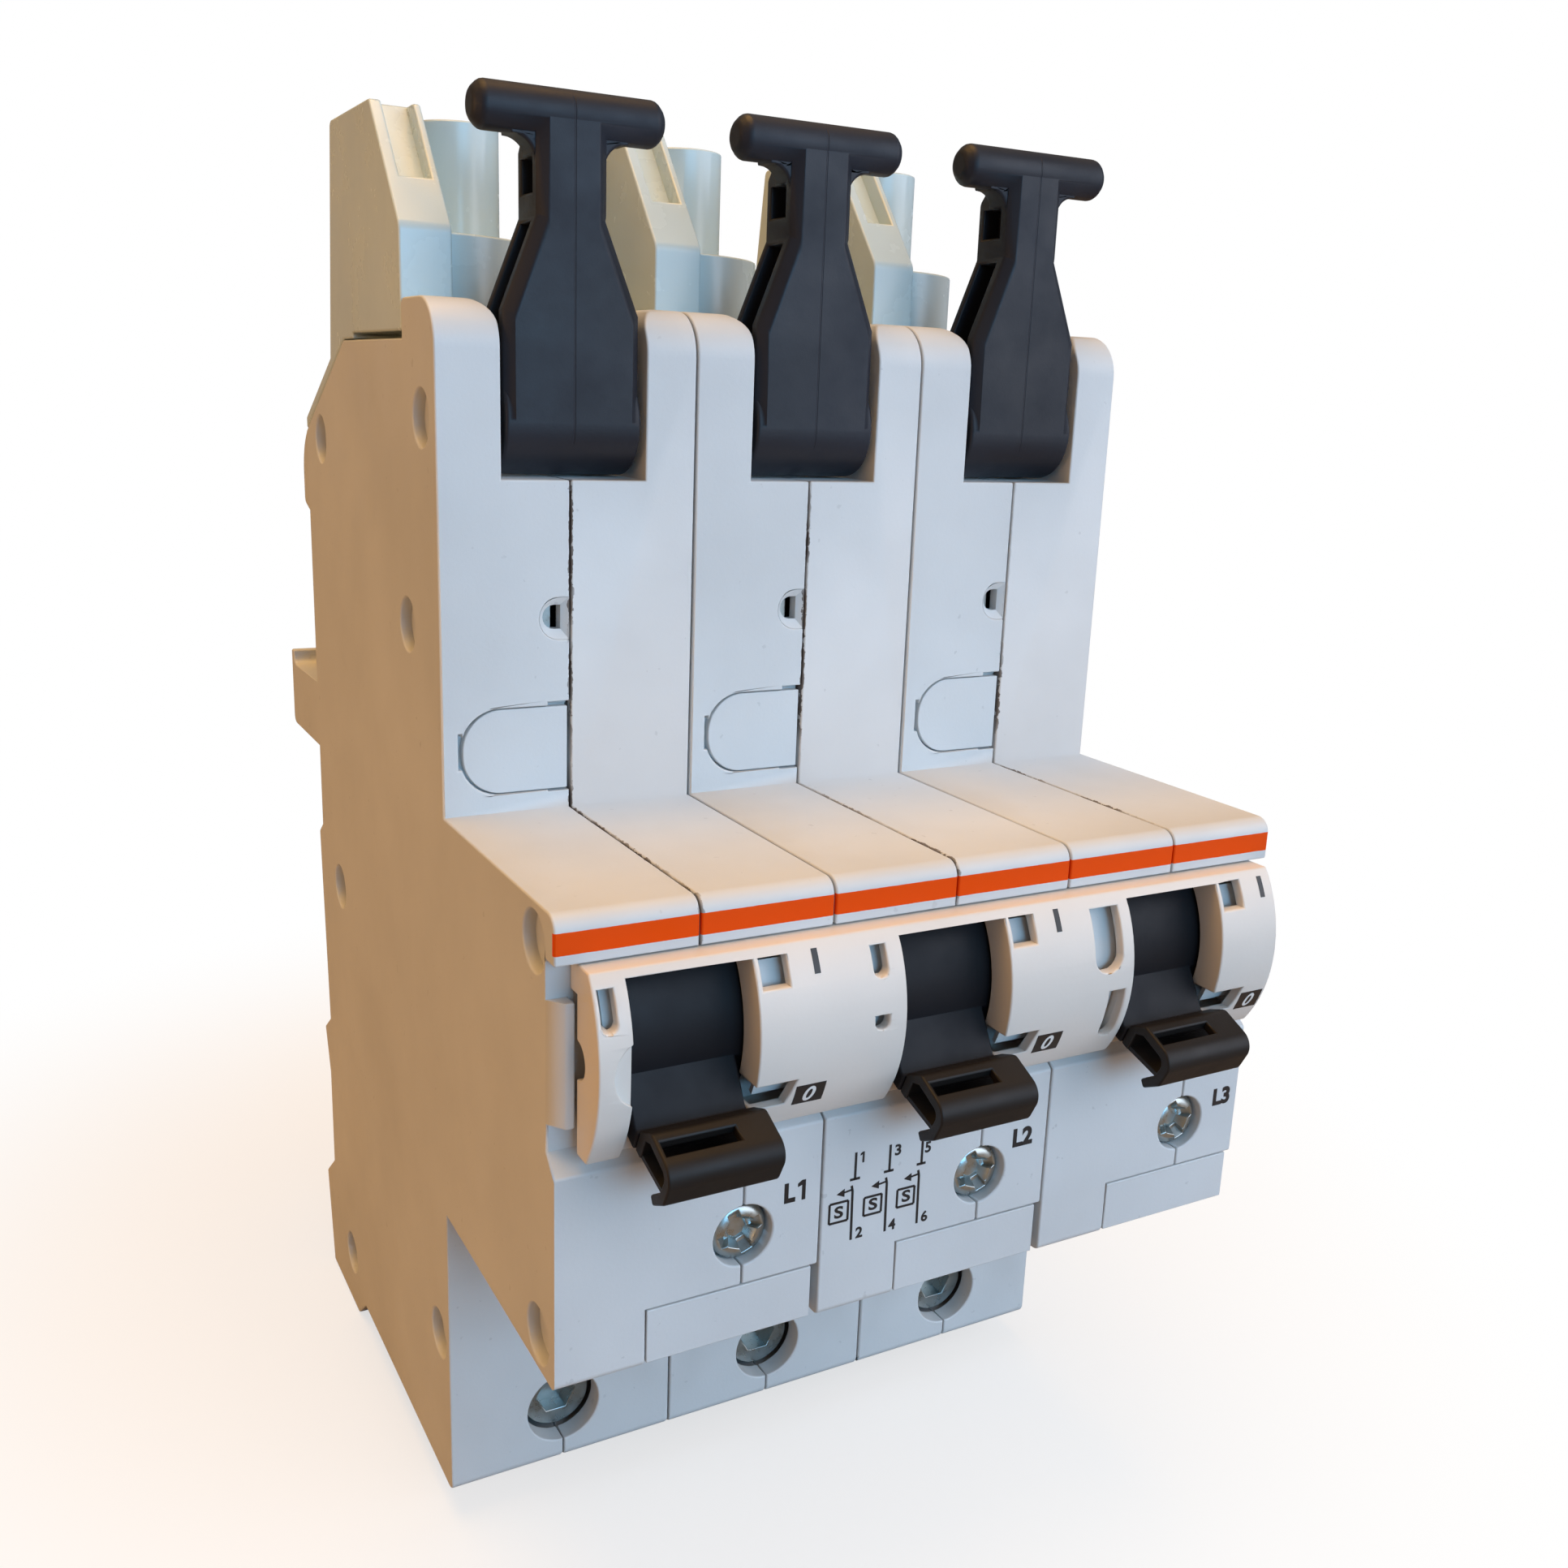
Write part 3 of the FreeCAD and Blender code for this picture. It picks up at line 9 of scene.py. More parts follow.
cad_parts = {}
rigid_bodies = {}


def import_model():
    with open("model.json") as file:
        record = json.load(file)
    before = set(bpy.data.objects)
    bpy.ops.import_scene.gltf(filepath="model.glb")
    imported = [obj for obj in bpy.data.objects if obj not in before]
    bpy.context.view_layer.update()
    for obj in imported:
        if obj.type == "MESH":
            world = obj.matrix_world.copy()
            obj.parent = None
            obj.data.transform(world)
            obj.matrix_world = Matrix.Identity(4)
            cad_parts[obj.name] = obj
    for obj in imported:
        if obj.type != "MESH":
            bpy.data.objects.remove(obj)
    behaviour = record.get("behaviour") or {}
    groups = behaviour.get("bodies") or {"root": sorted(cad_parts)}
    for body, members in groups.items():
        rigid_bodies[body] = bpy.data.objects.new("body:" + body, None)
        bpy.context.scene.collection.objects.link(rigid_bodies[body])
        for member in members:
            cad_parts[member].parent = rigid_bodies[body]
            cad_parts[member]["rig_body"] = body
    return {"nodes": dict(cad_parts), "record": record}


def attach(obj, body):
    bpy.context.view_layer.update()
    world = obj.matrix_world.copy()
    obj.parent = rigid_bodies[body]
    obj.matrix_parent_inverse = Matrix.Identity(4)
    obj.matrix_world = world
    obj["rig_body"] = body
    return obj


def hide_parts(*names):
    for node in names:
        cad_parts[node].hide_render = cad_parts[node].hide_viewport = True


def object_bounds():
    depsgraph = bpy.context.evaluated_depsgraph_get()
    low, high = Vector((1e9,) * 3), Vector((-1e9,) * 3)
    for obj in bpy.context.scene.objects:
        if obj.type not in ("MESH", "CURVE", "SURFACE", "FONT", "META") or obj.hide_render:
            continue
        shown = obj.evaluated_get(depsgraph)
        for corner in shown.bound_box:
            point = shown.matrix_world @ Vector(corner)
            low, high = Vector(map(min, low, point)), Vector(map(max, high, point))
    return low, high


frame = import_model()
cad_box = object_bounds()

MM = 0.001
POLES = (1, 2, 3)
PITCH = 27.0

# The CAD measures depths from the front of the cap and heights from its underside.
BAR_PLANE = 90.5
BAR_MIDDLE = 20.3
HINGE_DEPTH = 10.5
HINGE_HEIGHT = 32.0
GUARD_RADIUS = 15.1
SCREW_ASIDE = 5.2
SCREW_HEIGHT = 11.05
GRIP_TILT = 24.5

# Print stands off its surface by a hair and is sunk a hair into it.
PRINT_RAISED = 0.022
PRINT_SUNK = -0.02
PRINT_ON_PRINT = 0.04
SIGN_STROKE = 0.27
ARROW_STROKE = 0.2
FRAME_STROKE = 0.25

# The coloured band on the brow: foot and top, and how far back the brow's face reaches
BAND_FOOT = 41.6
BAND_TOP = 43.6
BROW_DEPTH = 0.4
BAND_BLUR = 0.00002

# How wide the edges of each kind of piece are rounded
EDGE_ROUNDINGS = {
    "shell_left": 0.22, "shell_right": 0.22, "front_flap": 0.12, "inspection_cover": 0.12,
    "clamp_jaw": 0.3, "contact_housing": 0.25, "clamp_lever": 0.35, "toggle": 0.25,
    "toggle_grip": 0.2, "toggle_guard": 0.2, "terminal_screw": 0.12,
}

# Shares of a side's length that a rounding may take, beside another rounding and beside a plain edge
SHARED_ROOM = 0.42
FREE_ROOM = 0.85
LEAST_ROOM = 0.15
NEARLY_STRAIGHT_ON = -0.8

# The window in the upper front: left, foot and top of its dished edge, and outline of its opening
WINDOW_LEFT = -3.25
WINDOW_FOOT = 62.4
WINDOW_TOP = 66.62
WINDOW_OPENING = (-2.74, 63.4, -0.85, 65.85)

# The walls behind the guard's face: radii about the hinge, and turn from below it to above
BACKING_RADII = (13.1, 12.6)
BACKING_START = -27
BACKING_SWEEP = 58
BACKING_STEPS = 14

# Each lamp: name, place from the middle of the object, size, watts and colour
LAMPS = [
    ("key_cool", (0.75, -0.75, 0.36), 1.1, 8.0, (0.88, 0.90, 1.0)),
    ("front_fill", (0.02, -0.90, 0.20), 0.5, 3.8, (0.28, 0.64, 1.0)),
    ("top_warm", (-0.10, 0.05, 0.80), 0.6, 5.8, (1.0, 0.53, 0.12)),
    ("left_warm", (-0.80, 0.05, 0.05), 0.6, 2.45, (1.0, 0.57, 0.25)),
]

# The photograph's camera: where it stands, and which way its picture points
CAMERA_PLACE = (-81.19, -201.33, 67.33)
CAMERA_RIGHT = (0.87733, -0.47844, 0.03732)
CAMERA_DOWN = (-0.08959, -0.23969, -0.96671)
CAMERA_AHEAD = (0.47145, 0.84478, -0.25315)
CAMERA_LENS = 34.70
CAMERA_SENSOR = 36.0

HOUSING_GREY = (0.62, 0.635, 0.635)
HOUSING_GLOSS_GREY = (0.60, 0.70, 0.70)
GUARD_CREAM = (0.70, 0.655, 0.60)
BAND_ORANGE = (0.82, 0.072, 0.0005)
LEVER_BLACK = (0.010, 0.013, 0.021)
TOGGLE_BLACK = (0.0065, 0.0065, 0.009)
GRIP_BLACK = (0.012, 0.010, 0.009)
ZINC_GREY = (0.42, 0.47, 0.47)
COPPER = (0.70, 0.33, 0.18)
SILVER = (0.72, 0.70, 0.66)
BIMETAL = (0.50, 0.46, 0.40)
WINDING = (0.40, 0.13, 0.05)
SPLITTER = (0.38, 0.38, 0.37)
INK_BLACK = (0.012, 0.012, 0.013)
INK_WHITE = (0.75, 0.75, 0.73)
SOIL = (0.09, 0.065, 0.05)
TABLE_BOUNCE = (0.32, 0.26, 0.20, 1.0)
ROOM_LEFT = (0.27, 0.16, 0.08, 1.0)
ROOM_REST = (0.20, 0.225, 0.26, 1.0)


def place(side, depth, height):
    """A point given like the CAD's own sizes, in metres of the frame."""
    return Vector((side * MM, (depth - BAR_PLANE) * MM, (height - BAR_MIDDLE) * MM))


def pole_side(pole):
    return PITCH * (pole - 2)


def linear(colour, share=1.0):
    return (colour[0] * share, colour[1] * share, colour[2] * share, 1.0)


def new_material(name):
    """A material with its node tree, output and shader."""
    material = bpy.data.materials.new(name)
    material.use_nodes = True
    tree = material.node_tree
    shader = next(node for node in tree.nodes if node.type == "BSDF_PRINCIPLED")
    return material, tree, shader


def feed(tree, socket, source):
    """Sets a socket to a number or links it to another node's output."""
    if isinstance(source, (int, float)):
        socket.default_value = source
    else:
        tree.links.new(source, socket)


def sum_of(tree, operation, *sources):
    """One step of arithmetic on numbers or outputs."""
    node = tree.nodes.new("ShaderNodeMath")
    node.operation = operation
    for socket, source in zip(node.inputs, sources):
        feed(tree, socket, source)
    return node.outputs["Value"]


def fade(tree, source, start, end, low=0.0, high=1.0):
    """The source's range from start to end drawn smoothly to another range."""
    node = tree.nodes.new("ShaderNodeMapRange")
    node.interpolation_type = "SMOOTHSTEP"
    for name, amount in (("From Min", start), ("From Max", end), ("To Min", low), ("To Max", high)):
        node.inputs[name].default_value = amount
    tree.links.new(source, node.inputs["Value"])
    return node.outputs["Result"]


def axes(tree):
    """The X, Y and Z of the object's own metres."""
    coordinates = tree.nodes.new("ShaderNodeTexCoord")
    split = tree.nodes.new("ShaderNodeSeparateXYZ")
    tree.links.new(coordinates.outputs["Object"], split.inputs["Vector"])
    return split.outputs["X"], split.outputs["Y"], split.outputs["Z"]


def noise(tree, scale, detail=4.0, roughness=0.6, stretch=None):
    """A noise texture in the object's own metres."""
    coordinates = tree.nodes.new("ShaderNodeTexCoord")
    texture = tree.nodes.new("ShaderNodeTexNoise")
    texture.inputs["Scale"].default_value = scale
    texture.inputs["Detail"].default_value = detail
    texture.inputs["Roughness"].default_value = roughness
    source = coordinates.outputs["Object"]
    if stretch:
        mapping = tree.nodes.new("ShaderNodeMapping")
        mapping.inputs["Scale"].default_value = stretch
        tree.links.new(source, mapping.inputs["Vector"])
        source = mapping.outputs["Vector"]
    tree.links.new(source, texture.inputs["Vector"])
    return texture.outputs["Fac"]


def ramp(tree, source, stops):
    """A colour ramp through (position, colour) stops."""
    node = tree.nodes.new("ShaderNodeValToRGB")
    elements = node.color_ramp.elements
    while len(elements) < len(stops):
        elements.new(0.5)
    for element, (position, colour) in zip(elements, stops):
        element.position = position
        element.color = colour
    tree.links.new(source, node.inputs["Fac"])
    return node.outputs["Color"]


def overlay(tree, mask, under, colour):
    """A colour laid over another where the mask is 1."""
    node = tree.nodes.new("ShaderNodeMix")
    node.data_type = "RGBA"
    feed(tree, node.inputs[0], mask)
    tree.links.new(under, node.inputs[6])
    node.inputs[7].default_value = colour
    return node.outputs[2]


def spread(tree, source, low, high):
    """The source's middle range stretched between two values."""
    node = tree.nodes.new("ShaderNodeMapRange")
    node.inputs["From Min"].default_value = 0.3
    node.inputs["From Max"].default_value = 0.7
    node.inputs["To Min"].default_value = low
    node.inputs["To Max"].default_value = high
    tree.links.new(source, node.inputs["Value"])
    return node.outputs["Result"]


def bump(tree, shader, source, strength, distance):
    node = tree.nodes.new("ShaderNodeBump")
    node.inputs["Strength"].default_value = strength
    node.inputs["Distance"].default_value = distance
    tree.links.new(source, node.inputs["Height"])
    tree.links.new(node.outputs["Normal"], shader.inputs["Normal"])


def printed_band(tree):
    """Where the coloured band is printed along the brow of the cap."""
    _, depth, height = axes(tree)
    wobble = sum_of(tree, "MULTIPLY", noise(tree, 900.0, 2.0), 0.00006)
    level = sum_of(tree, "ADD", height, wobble)
    foot = (BAND_FOOT - BAR_MIDDLE) * MM
    top = (BAND_TOP - BAR_MIDDLE) * MM
    above = fade(tree, level, foot - BAND_BLUR, foot + BAND_BLUR)
    below = fade(tree, level, top - BAND_BLUR, top + BAND_BLUR, 1.0, 0.0)
    ahead = sum_of(tree, "LESS_THAN", depth, (BROW_DEPTH - BAR_PLANE) * MM)
    return sum_of(tree, "MULTIPLY", sum_of(tree, "MULTIPLY", above, below), ahead)


def seam_soil(tree):
    """Where dirt has settled along the seam in the middle of each pole."""
    across, _, height = axes(tree)
    away = sum_of(tree, "PINGPONG", across, PITCH / 2 * MM)
    ragged = sum_of(tree, "MULTIPLY", noise(tree, 1400.0, 3.0, 0.7, (1.0, 0.55, 0.55)), 0.0011)
    reach = sum_of(tree, "SUBTRACT", ragged, 0.00036)
    near = sum_of(tree, "LESS_THAN", away, reach)
    patchy = fade(tree, noise(tree, 90.0, 2.0), 0.42, 0.58, 0.1, 0.85)
    above = fade(tree, height, (22.0 - BAR_MIDDLE) * MM, (40.0 - BAR_MIDDLE) * MM)
    return sum_of(tree, "MULTIPLY", sum_of(tree, "MULTIPLY", near, patchy), above)


def mould_line(tree):
    """A faint line that the mould left down the front of a lever."""
    across, depth, _ = axes(tree)
    aside = sum_of(tree, "SUBTRACT", across, 0.32 * MM)
    away = sum_of(tree, "PINGPONG", aside, PITCH / 2 * MM)
    ahead = sum_of(tree, "LESS_THAN", depth, (31.6 - BAR_PLANE) * MM)
    return sum_of(tree, "MULTIPLY", fade(tree, away, 0.00003, 0.00012, 1.0, 0.0), ahead)


def moulded(name, colour, roughness, grain=2600.0, grain_depth=0.000012, drift=0.06,
            roughness_drift=0.08, specks=0.0, marks=(), line=None, shine=0.5, dull=None):
    """Moulded plastic: a fine grain, a slow drift in tone and a few darker specks.

    Each of the marks is a mask and the colour that lies on it; dull masks a flat print."""
    material, tree, shader = new_material(name)
    slow = noise(tree, 45.0, 3.0, 0.55)
    tone = ramp(tree, slow, [(0.3, linear(colour, 1 - drift)), (0.7, linear(colour, 1 + drift))])
    if specks:
        dots = noise(tree, 900.0, 2.0, 0.5)
        tone = overlay(tree, fade(tree, dots, 0.72, 0.76), tone, linear(colour, 1 - specks))
    for mask, mark_colour in marks:
        tone = overlay(tree, mask(tree), tone, linear(mark_colour))
    tree.links.new(tone, shader.inputs["Base Color"])
    shader.inputs["IOR"].default_value = 1.5
    shader.inputs["Specular IOR Level"].default_value = shine
    if dull:
        tree.links.new(fade(tree, dull(tree), 0.0, 1.0, shine, 0.12), shader.inputs["Specular IOR Level"])
    tree.links.new(spread(tree, noise(tree, 160.0, 4.0), roughness - roughness_drift,
                          roughness + roughness_drift), shader.inputs["Roughness"])
    relief = noise(tree, grain, 3.0, 0.6)
    if line:
        relief = sum_of(tree, "SUBTRACT", relief, sum_of(tree, "MULTIPLY", line(tree), 4.0))
    bump(tree, shader, relief, 1.0, grain_depth)
    return material


def metal(name, colour, roughness, stretch=None, drift=0.18, scale=700.0):
    """Plated or bare metal with faint marks from its making."""
    material, tree, shader = new_material(name)
    marks = noise(tree, scale, 5.0, 0.65, stretch)
    tone = ramp(tree, marks, [(0.3, linear(colour, 1 - drift)), (0.7, linear(colour, 1 + drift / 2))])
    tree.links.new(tone, shader.inputs["Base Color"])
    shader.inputs["Metallic"].default_value = 1.0
    tree.links.new(spread(tree, marks, roughness * 0.7, roughness * 1.4), shader.inputs["Roughness"])
    bump(tree, shader, marks, 0.6, 0.000008)
    return material


MATERIALS = {
    "housing": moulded("housing_grey", HOUSING_GREY, 0.46, specks=0.12,
                       marks=[(seam_soil, SOIL), (printed_band, BAND_ORANGE)], dull=printed_band),
    "contact_housing": moulded("housing_gloss_grey", HOUSING_GLOSS_GREY, 0.24, 1500.0, 0.000006),
    "guard": moulded("guard_cream", GUARD_CREAM, 0.36, 1900.0, 0.000008, 0.04),
    "lever": moulded("lever_black", LEVER_BLACK, 0.52, 2200.0, 0.000014, 0.2, 0.1,
                     line=mould_line, shine=0.36),
    "toggle": moulded("toggle_black", TOGGLE_BLACK, 0.54, 2000.0, 0.00001, 0.2, shine=0.24),
    "grip": moulded("grip_black", GRIP_BLACK, 0.48, 1700.0, 0.00001, 0.2, shine=0.26),
    "zinc": metal("zinc_plate", ZINC_GREY, 0.30),
    "copper": metal("bare_copper", COPPER, 0.32, (1, 1, 12)),
    "silvered_copper": metal("silver_plate", SILVER, 0.28, drift=0.05, scale=240.0),
    "bimetal": metal("rolled_bimetal", BIMETAL, 0.34, (1, 1, 14)),
    "winding": metal("enamelled_wire", WINDING, 0.30, (1, 1, 40), 0.3, 240.0),
    "splitter_steel": metal("galvanised_steel", SPLITTER, 0.42),
}
BLACK_PRINT = moulded("black_print", INK_BLACK, 0.4, 3000.0, 0.000004, 0.1)
WHITE_PRINT = moulded("white_print", INK_WHITE, 0.4, 3000.0, 0.000004, 0.05)
SLOT_OF = {row["node"]: row["material_slot"] for row in frame["record"]["subparts"]}


def clean_copy(node, name):
    """The node's form as one mesh of its own, with flat faces joined up."""
    mesh = frame["nodes"][node].data.copy()
    mesh.name = name
    form = bmesh.new()
    form.from_mesh(mesh)
    bmesh.ops.remove_doubles(form, verts=form.verts, dist=0.002 * MM)
    bmesh.ops.dissolve_limit(form, angle_limit=math.radians(0.6), verts=form.verts,
                             edges=form.edges, use_dissolve_boundaries=False, delimit=set())
    form.to_mesh(mesh)
    form.free()
    mesh.materials.clear()
    return mesh


def apply_modifiers(piece):
    """Turns the modifiers into the piece's own mesh."""
    view = bpy.context.evaluated_depsgraph_get()
    made = bpy.data.meshes.new_from_object(piece.evaluated_get(view))
    old = piece.data
    piece.modifiers.clear()
    piece.data = made
    bpy.data.meshes.remove(old)


def smooth_by_angle(piece, degrees):
    """Smooth shading, with edges sharper than the angle kept crisp."""
    for face in piece.data.polygons:
        face.use_smooth = True
    piece.data.set_sharp_from_angle(angle=math.radians(degrees))


def link_mesh(name, mesh):
    piece = bpy.data.objects.new(name, mesh)
    bpy.context.scene.collection.objects.link(piece)
    return piece


def new_piece(name, form, material, body, sharp=40.0):
    """A piece of the scene's own, made of a mesh in work, that rides on a body."""
    mesh = bpy.data.meshes.new(name)
    bmesh.ops.recalc_face_normals(form, faces=form.faces)
    form.to_mesh(mesh)
    form.free()
    piece = link_mesh(name, mesh)
    piece.data.materials.append(material)
    smooth_by_angle(piece, sharp)
    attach(piece, body)
    return piece


def room_beside(edge, sharp_edges, width):
    """How much of a rounding's width fits before the sides that meet an edge run out, up to 1."""
    room = 1.0
    for vertex in edge.verts:
        along = (edge.other_vert(vertex).co - vertex.co).normalized()
        for face in edge.link_faces:
            for other in face.edges:
                if other is edge or vertex not in other.verts:
                    continue
                away = other.other_vert(vertex).co - vertex.co
                cosine = along.dot(away.normalized())
                if cosine < NEARLY_STRAIGHT_ON:
                    continue
                reach = away.length * math.sqrt(max(0.0, 1 - cosine ** 2))
                share = SHARED_ROOM if other in sharp_edges else FREE_ROOM
                room = min(room, reach * share / width)
    return room


# Places where two edges run together too closely to be rounded
TIGHT_SPOTS = [place(-40.4, 2.32, 37.0), place(-40.4, 0.24, 0.64), place(7.3, 38.95, 87.73)]
TIGHT_REACH = 0.9 * MM


def weigh_edges(mesh, width, sharp):
    """Marks the outward edges to be rounded, each as far as its sides have room."""
    form = bmesh.new()
    form.from_mesh(mesh)
    layer = form.edges.layers.float.new("bevel_weight_edge")
    sharp_edges = {edge for edge in form.edges if len(edge.link_faces) == 2
                   and edge.calc_face_angle_signed(0.0) > math.radians(sharp)}
    rooms = {edge: room_beside(edge, sharp_edges, width) for edge in sharp_edges}
    for edge, room in rooms.items():
        tight = any((vertex.co - spot).length < TIGHT_REACH for vertex in edge.verts for spot in TIGHT_SPOTS)
        edge[layer] = 0.0 if tight or room < LEAST_ROOM else room
    form.to_mesh(mesh)
    form.free()


def surface_of(piece):
    """The piece's faces in a form that finds the nearest point on them."""
    form = bmesh.new()
    form.from_mesh(piece.data)
    surface = BVHTree.FromBMesh(form)
    form.free()
    return surface


def pull_in(piece, surface):
    """Puts points that stand off the unrounded surface back on it, as a rounding only takes away."""
    for vertex in piece.data.vertices:
        nearest, outward, _, distance = surface.find_nearest(vertex.co)
        if distance > 0.02 * MM and (vertex.co - nearest).dot(outward) > 0:
            vertex.co = nearest


def bevel_edges(piece, width, steps, sharp):
    """Rounds the outward edges that are sharper than the angle."""
    surface = surface_of(piece)
    weigh_edges(piece.data, width * MM, sharp)
    rounding = piece.modifiers.new("Edges", "BEVEL")
    rounding.width = width * MM
    rounding.segments = steps
    rounding.limit_method = "WEIGHT"
    rounding.use_clamp_overlap = False
    apply_modifiers(piece)
    pull_in(piece, surface)


def settle_normals(piece, degrees):
    """Smooth shading in which the large flat faces stay flat."""
    smooth_by_angle(piece, degrees)
    normals = piece.modifiers.new("Normals", "WEIGHTED_NORMAL")
    normals.keep_sharp = True
    apply_modifiers(piece)


def cut_with(piece, form):
    """Cuts a closed form out of a piece."""
    mesh = bpy.data.meshes.new("cutter")
    bmesh.ops.recalc_face_normals(form, faces=form.faces)
    form.to_mesh(mesh)
    form.free()
    cutter = link_mesh("cutter", mesh)
    cut = piece.modifiers.new("Cut", "BOOLEAN")
    cut.operation = "DIFFERENCE"
    cut.solver = "EXACT"
    cut.object = cutter
    apply_modifiers(piece)
    bpy.data.objects.remove(cutter)
    bpy.data.meshes.remove(mesh)


def add_prism(form, outline, start, end):
    """Adds a closed prism: an outline of (side, height) points between two depths."""
    rings = [[form.verts.new(place(side, depth, height)) for side, height in outline]
             for depth in (start, end)]
    form.faces.new(rings[0])
    form.faces.new(list(reversed(rings[1])))
    join_rings(form, rings)


def join_rings(form, rings):
    """Faces between rings of equally many points."""
    for ring, following in zip(rings, rings[1:]):
        for index in range(len(ring)):
            after = (index + 1) % len(ring)
            form.faces.new((ring[index], following[index], following[after], ring[after]))


def box_outline(left, foot, right, top):
    return [(left, foot), (right, foot), (right, top), (left, top)]


def rounded_node(node, edge, steps=2, sharp=32.0, cutters=()):
    """A CAD node with its sharp edges rounded, as a moulded or machined piece has them."""
    body = frame["nodes"][node]["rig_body"]
    piece = link_mesh(node + "_finished", clean_copy(node, node + "_finished"))
    for form in cutters:
        cut_with(piece, form)
    bevel_edges(piece, edge, steps, sharp)
    settle_normals(piece, 40.0)
    piece.data.materials.clear()
    piece.data.materials.append(MATERIALS[SLOT_OF[node]])
    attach(piece, body)
    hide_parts(node)
    return piece


def d_outline(left, foot, right, top, steps=10):
    """A D lying on its straight side at the right, as (side, height) points."""
    radius = (top - foot) / 2
    middle = (top + foot) / 2
    points = [(right, foot), (right, top)]
    for step in range(steps + 1):
        turn = math.radians(90 + 180 * step / steps)
        points.append((left + radius + radius * math.cos(turn), middle + radius * math.sin(turn)))
    return points


def cover_cutters(pole):
    """The small notches beside the inspection cover and the dished edge of the window."""
    middle = pole_side(pole)
    notches = bmesh.new()
    for outline in (box_outline(middle - 2.35, 55.6, middle + 0.1, 56.1),
                    box_outline(middle - 2.35, 46.75, middle + 0.1, 47.15),
                    box_outline(middle - 11.72, 49.7, middle - 11.3, 53.4)):
        add_prism(notches, outline, 31.0, 32.6)
    window = bmesh.new()
    add_prism(window, [(middle + side, height)
                       for side, height in d_outline(WINDOW_LEFT, WINDOW_FOOT, 0.1, WINDOW_TOP)], 31.0, 32.2)
    return [notches, window]


def window_trim(pole):
    """The dished surround of the window in the upper front, and the metal seen through it."""
    middle = pole_side(pole)
    outer = d_outline(WINDOW_LEFT, WINDOW_FOOT, -0.1, WINDOW_TOP)
    inner = d_outline(*WINDOW_OPENING)
    rings = [(outer, 31.62), (inner, 32.15), (inner, 33.4), (outer, 33.4)]
    form = bmesh.new()
    made = [[form.verts.new(place(middle + side, depth, height)) for side, height in outline]
            for outline, depth in rings]
    join_rings(form, made + [made[0]])
    new_piece("window_trim_%d" % pole, form, MATERIALS["housing"], "casing", 30.0)
    blade = bmesh.new()
    add_prism(blade, box_outline(middle - 2.9, 63.2, middle - 1.5, 66.0), 33.35, 33.75)
    new_piece("window_blade_%d" % pole, blade, MATERIALS["zinc"], "casing", 30.0)


def grip_web(pole):
    """Web inside a toggle's grip that closes it behind its window."""
    side = pole_side(pole)
    tilt = math.radians(GRIP_TILT)
    form = bmesh.new()
    rings = []
    for across in (side - 6.9, side + 3.7):
        corners = [(-20.9, -0.6), (-16.2, -1.3), (-16.2, -1.8), (-20.9, -1.1)]
        rings.append([form.verts.new(place(across, HINGE_DEPTH + ahead * math.cos(tilt) - up * math.sin(tilt),
                                           HINGE_HEIGHT + ahead * math.sin(tilt) + up * math.cos(tilt)))
                      for ahead, up in corners])
    form.faces.new(rings[0])
    form.faces.new(list(reversed(rings[1])))
    join_rings(form, rings)
    body = frame["nodes"]["toggle_grip_%d" % pole]["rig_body"]
    new_piece("grip_web_%d" % pole, form, MATERIALS["grip"], body, 30.0)


def guard_backing():
    """Curved walls of the bay close behind the guard's face, seen through its windows."""
    form = bmesh.new()
    spans = [(-36.9, -35.8)] + [(pole_side(pole) + 4.85, pole_side(pole) + 18.2) for pole in (1, 2)]
    spans.append((pole_side(3) + 4.85, 37.2))
    front, back = BACKING_RADII
    for left, right in spans:
        rings = []
        for step in range(BACKING_STEPS + 1):
            turn = math.radians(BACKING_START + BACKING_SWEEP * step / BACKING_STEPS)
            rings.append([form.verts.new(place(side, HINGE_DEPTH - radius * math.cos(turn),
                                               HINGE_HEIGHT + radius * math.sin(turn)))
                          for side, radius in ((left, front), (right, front), (right, back), (left, back))])
        form.faces.new(list(reversed(rings[0])))
        form.faces.new(rings[-1])
        join_rings(form, rings)
    new_piece("guard_backing", form, MATERIALS["housing"], "casing", 30.0)


def screw_profile():
    """Radius and depth of the front screw's round head and shank, from its middle outwards."""
    return [(0.0, 0.55), (0.9, 0.55), (1.9, 0.6), (2.5, 0.78), (2.82, 1.1), (2.95, 1.6), (2.95, 3.3),
            (1.95, 3.3), (1.95, 12.1), (1.6, 12.5), (0.0, 12.5)]


def turned_form(side, height, profile, count=48):
    """A form turned about a line that runs along the depth."""
    form = bmesh.new()
    rings = []
    for radius, depth in profile:
        if radius == 0.0:
            rings.append([form.verts.new(place(side, depth, height))])
            continue
        turns = [2 * math.pi * index / count for index in range(count)]
        rings.append([form.verts.new(place(side + radius * math.cos(turn), depth,
                                           height + radius * math.sin(turn))) for turn in turns])
    for ring, following in zip(rings, rings[1:]):
        for index in range(count):
            after = (index + 1) % count
            corners = [ring[index % len(ring)], following[index % len(following)],
                       following[after % len(following)], ring[after % len(ring)]]
            form.faces.new([corner for number, corner in enumerate(corners)
                            if corner not in corners[:number]])
    return form


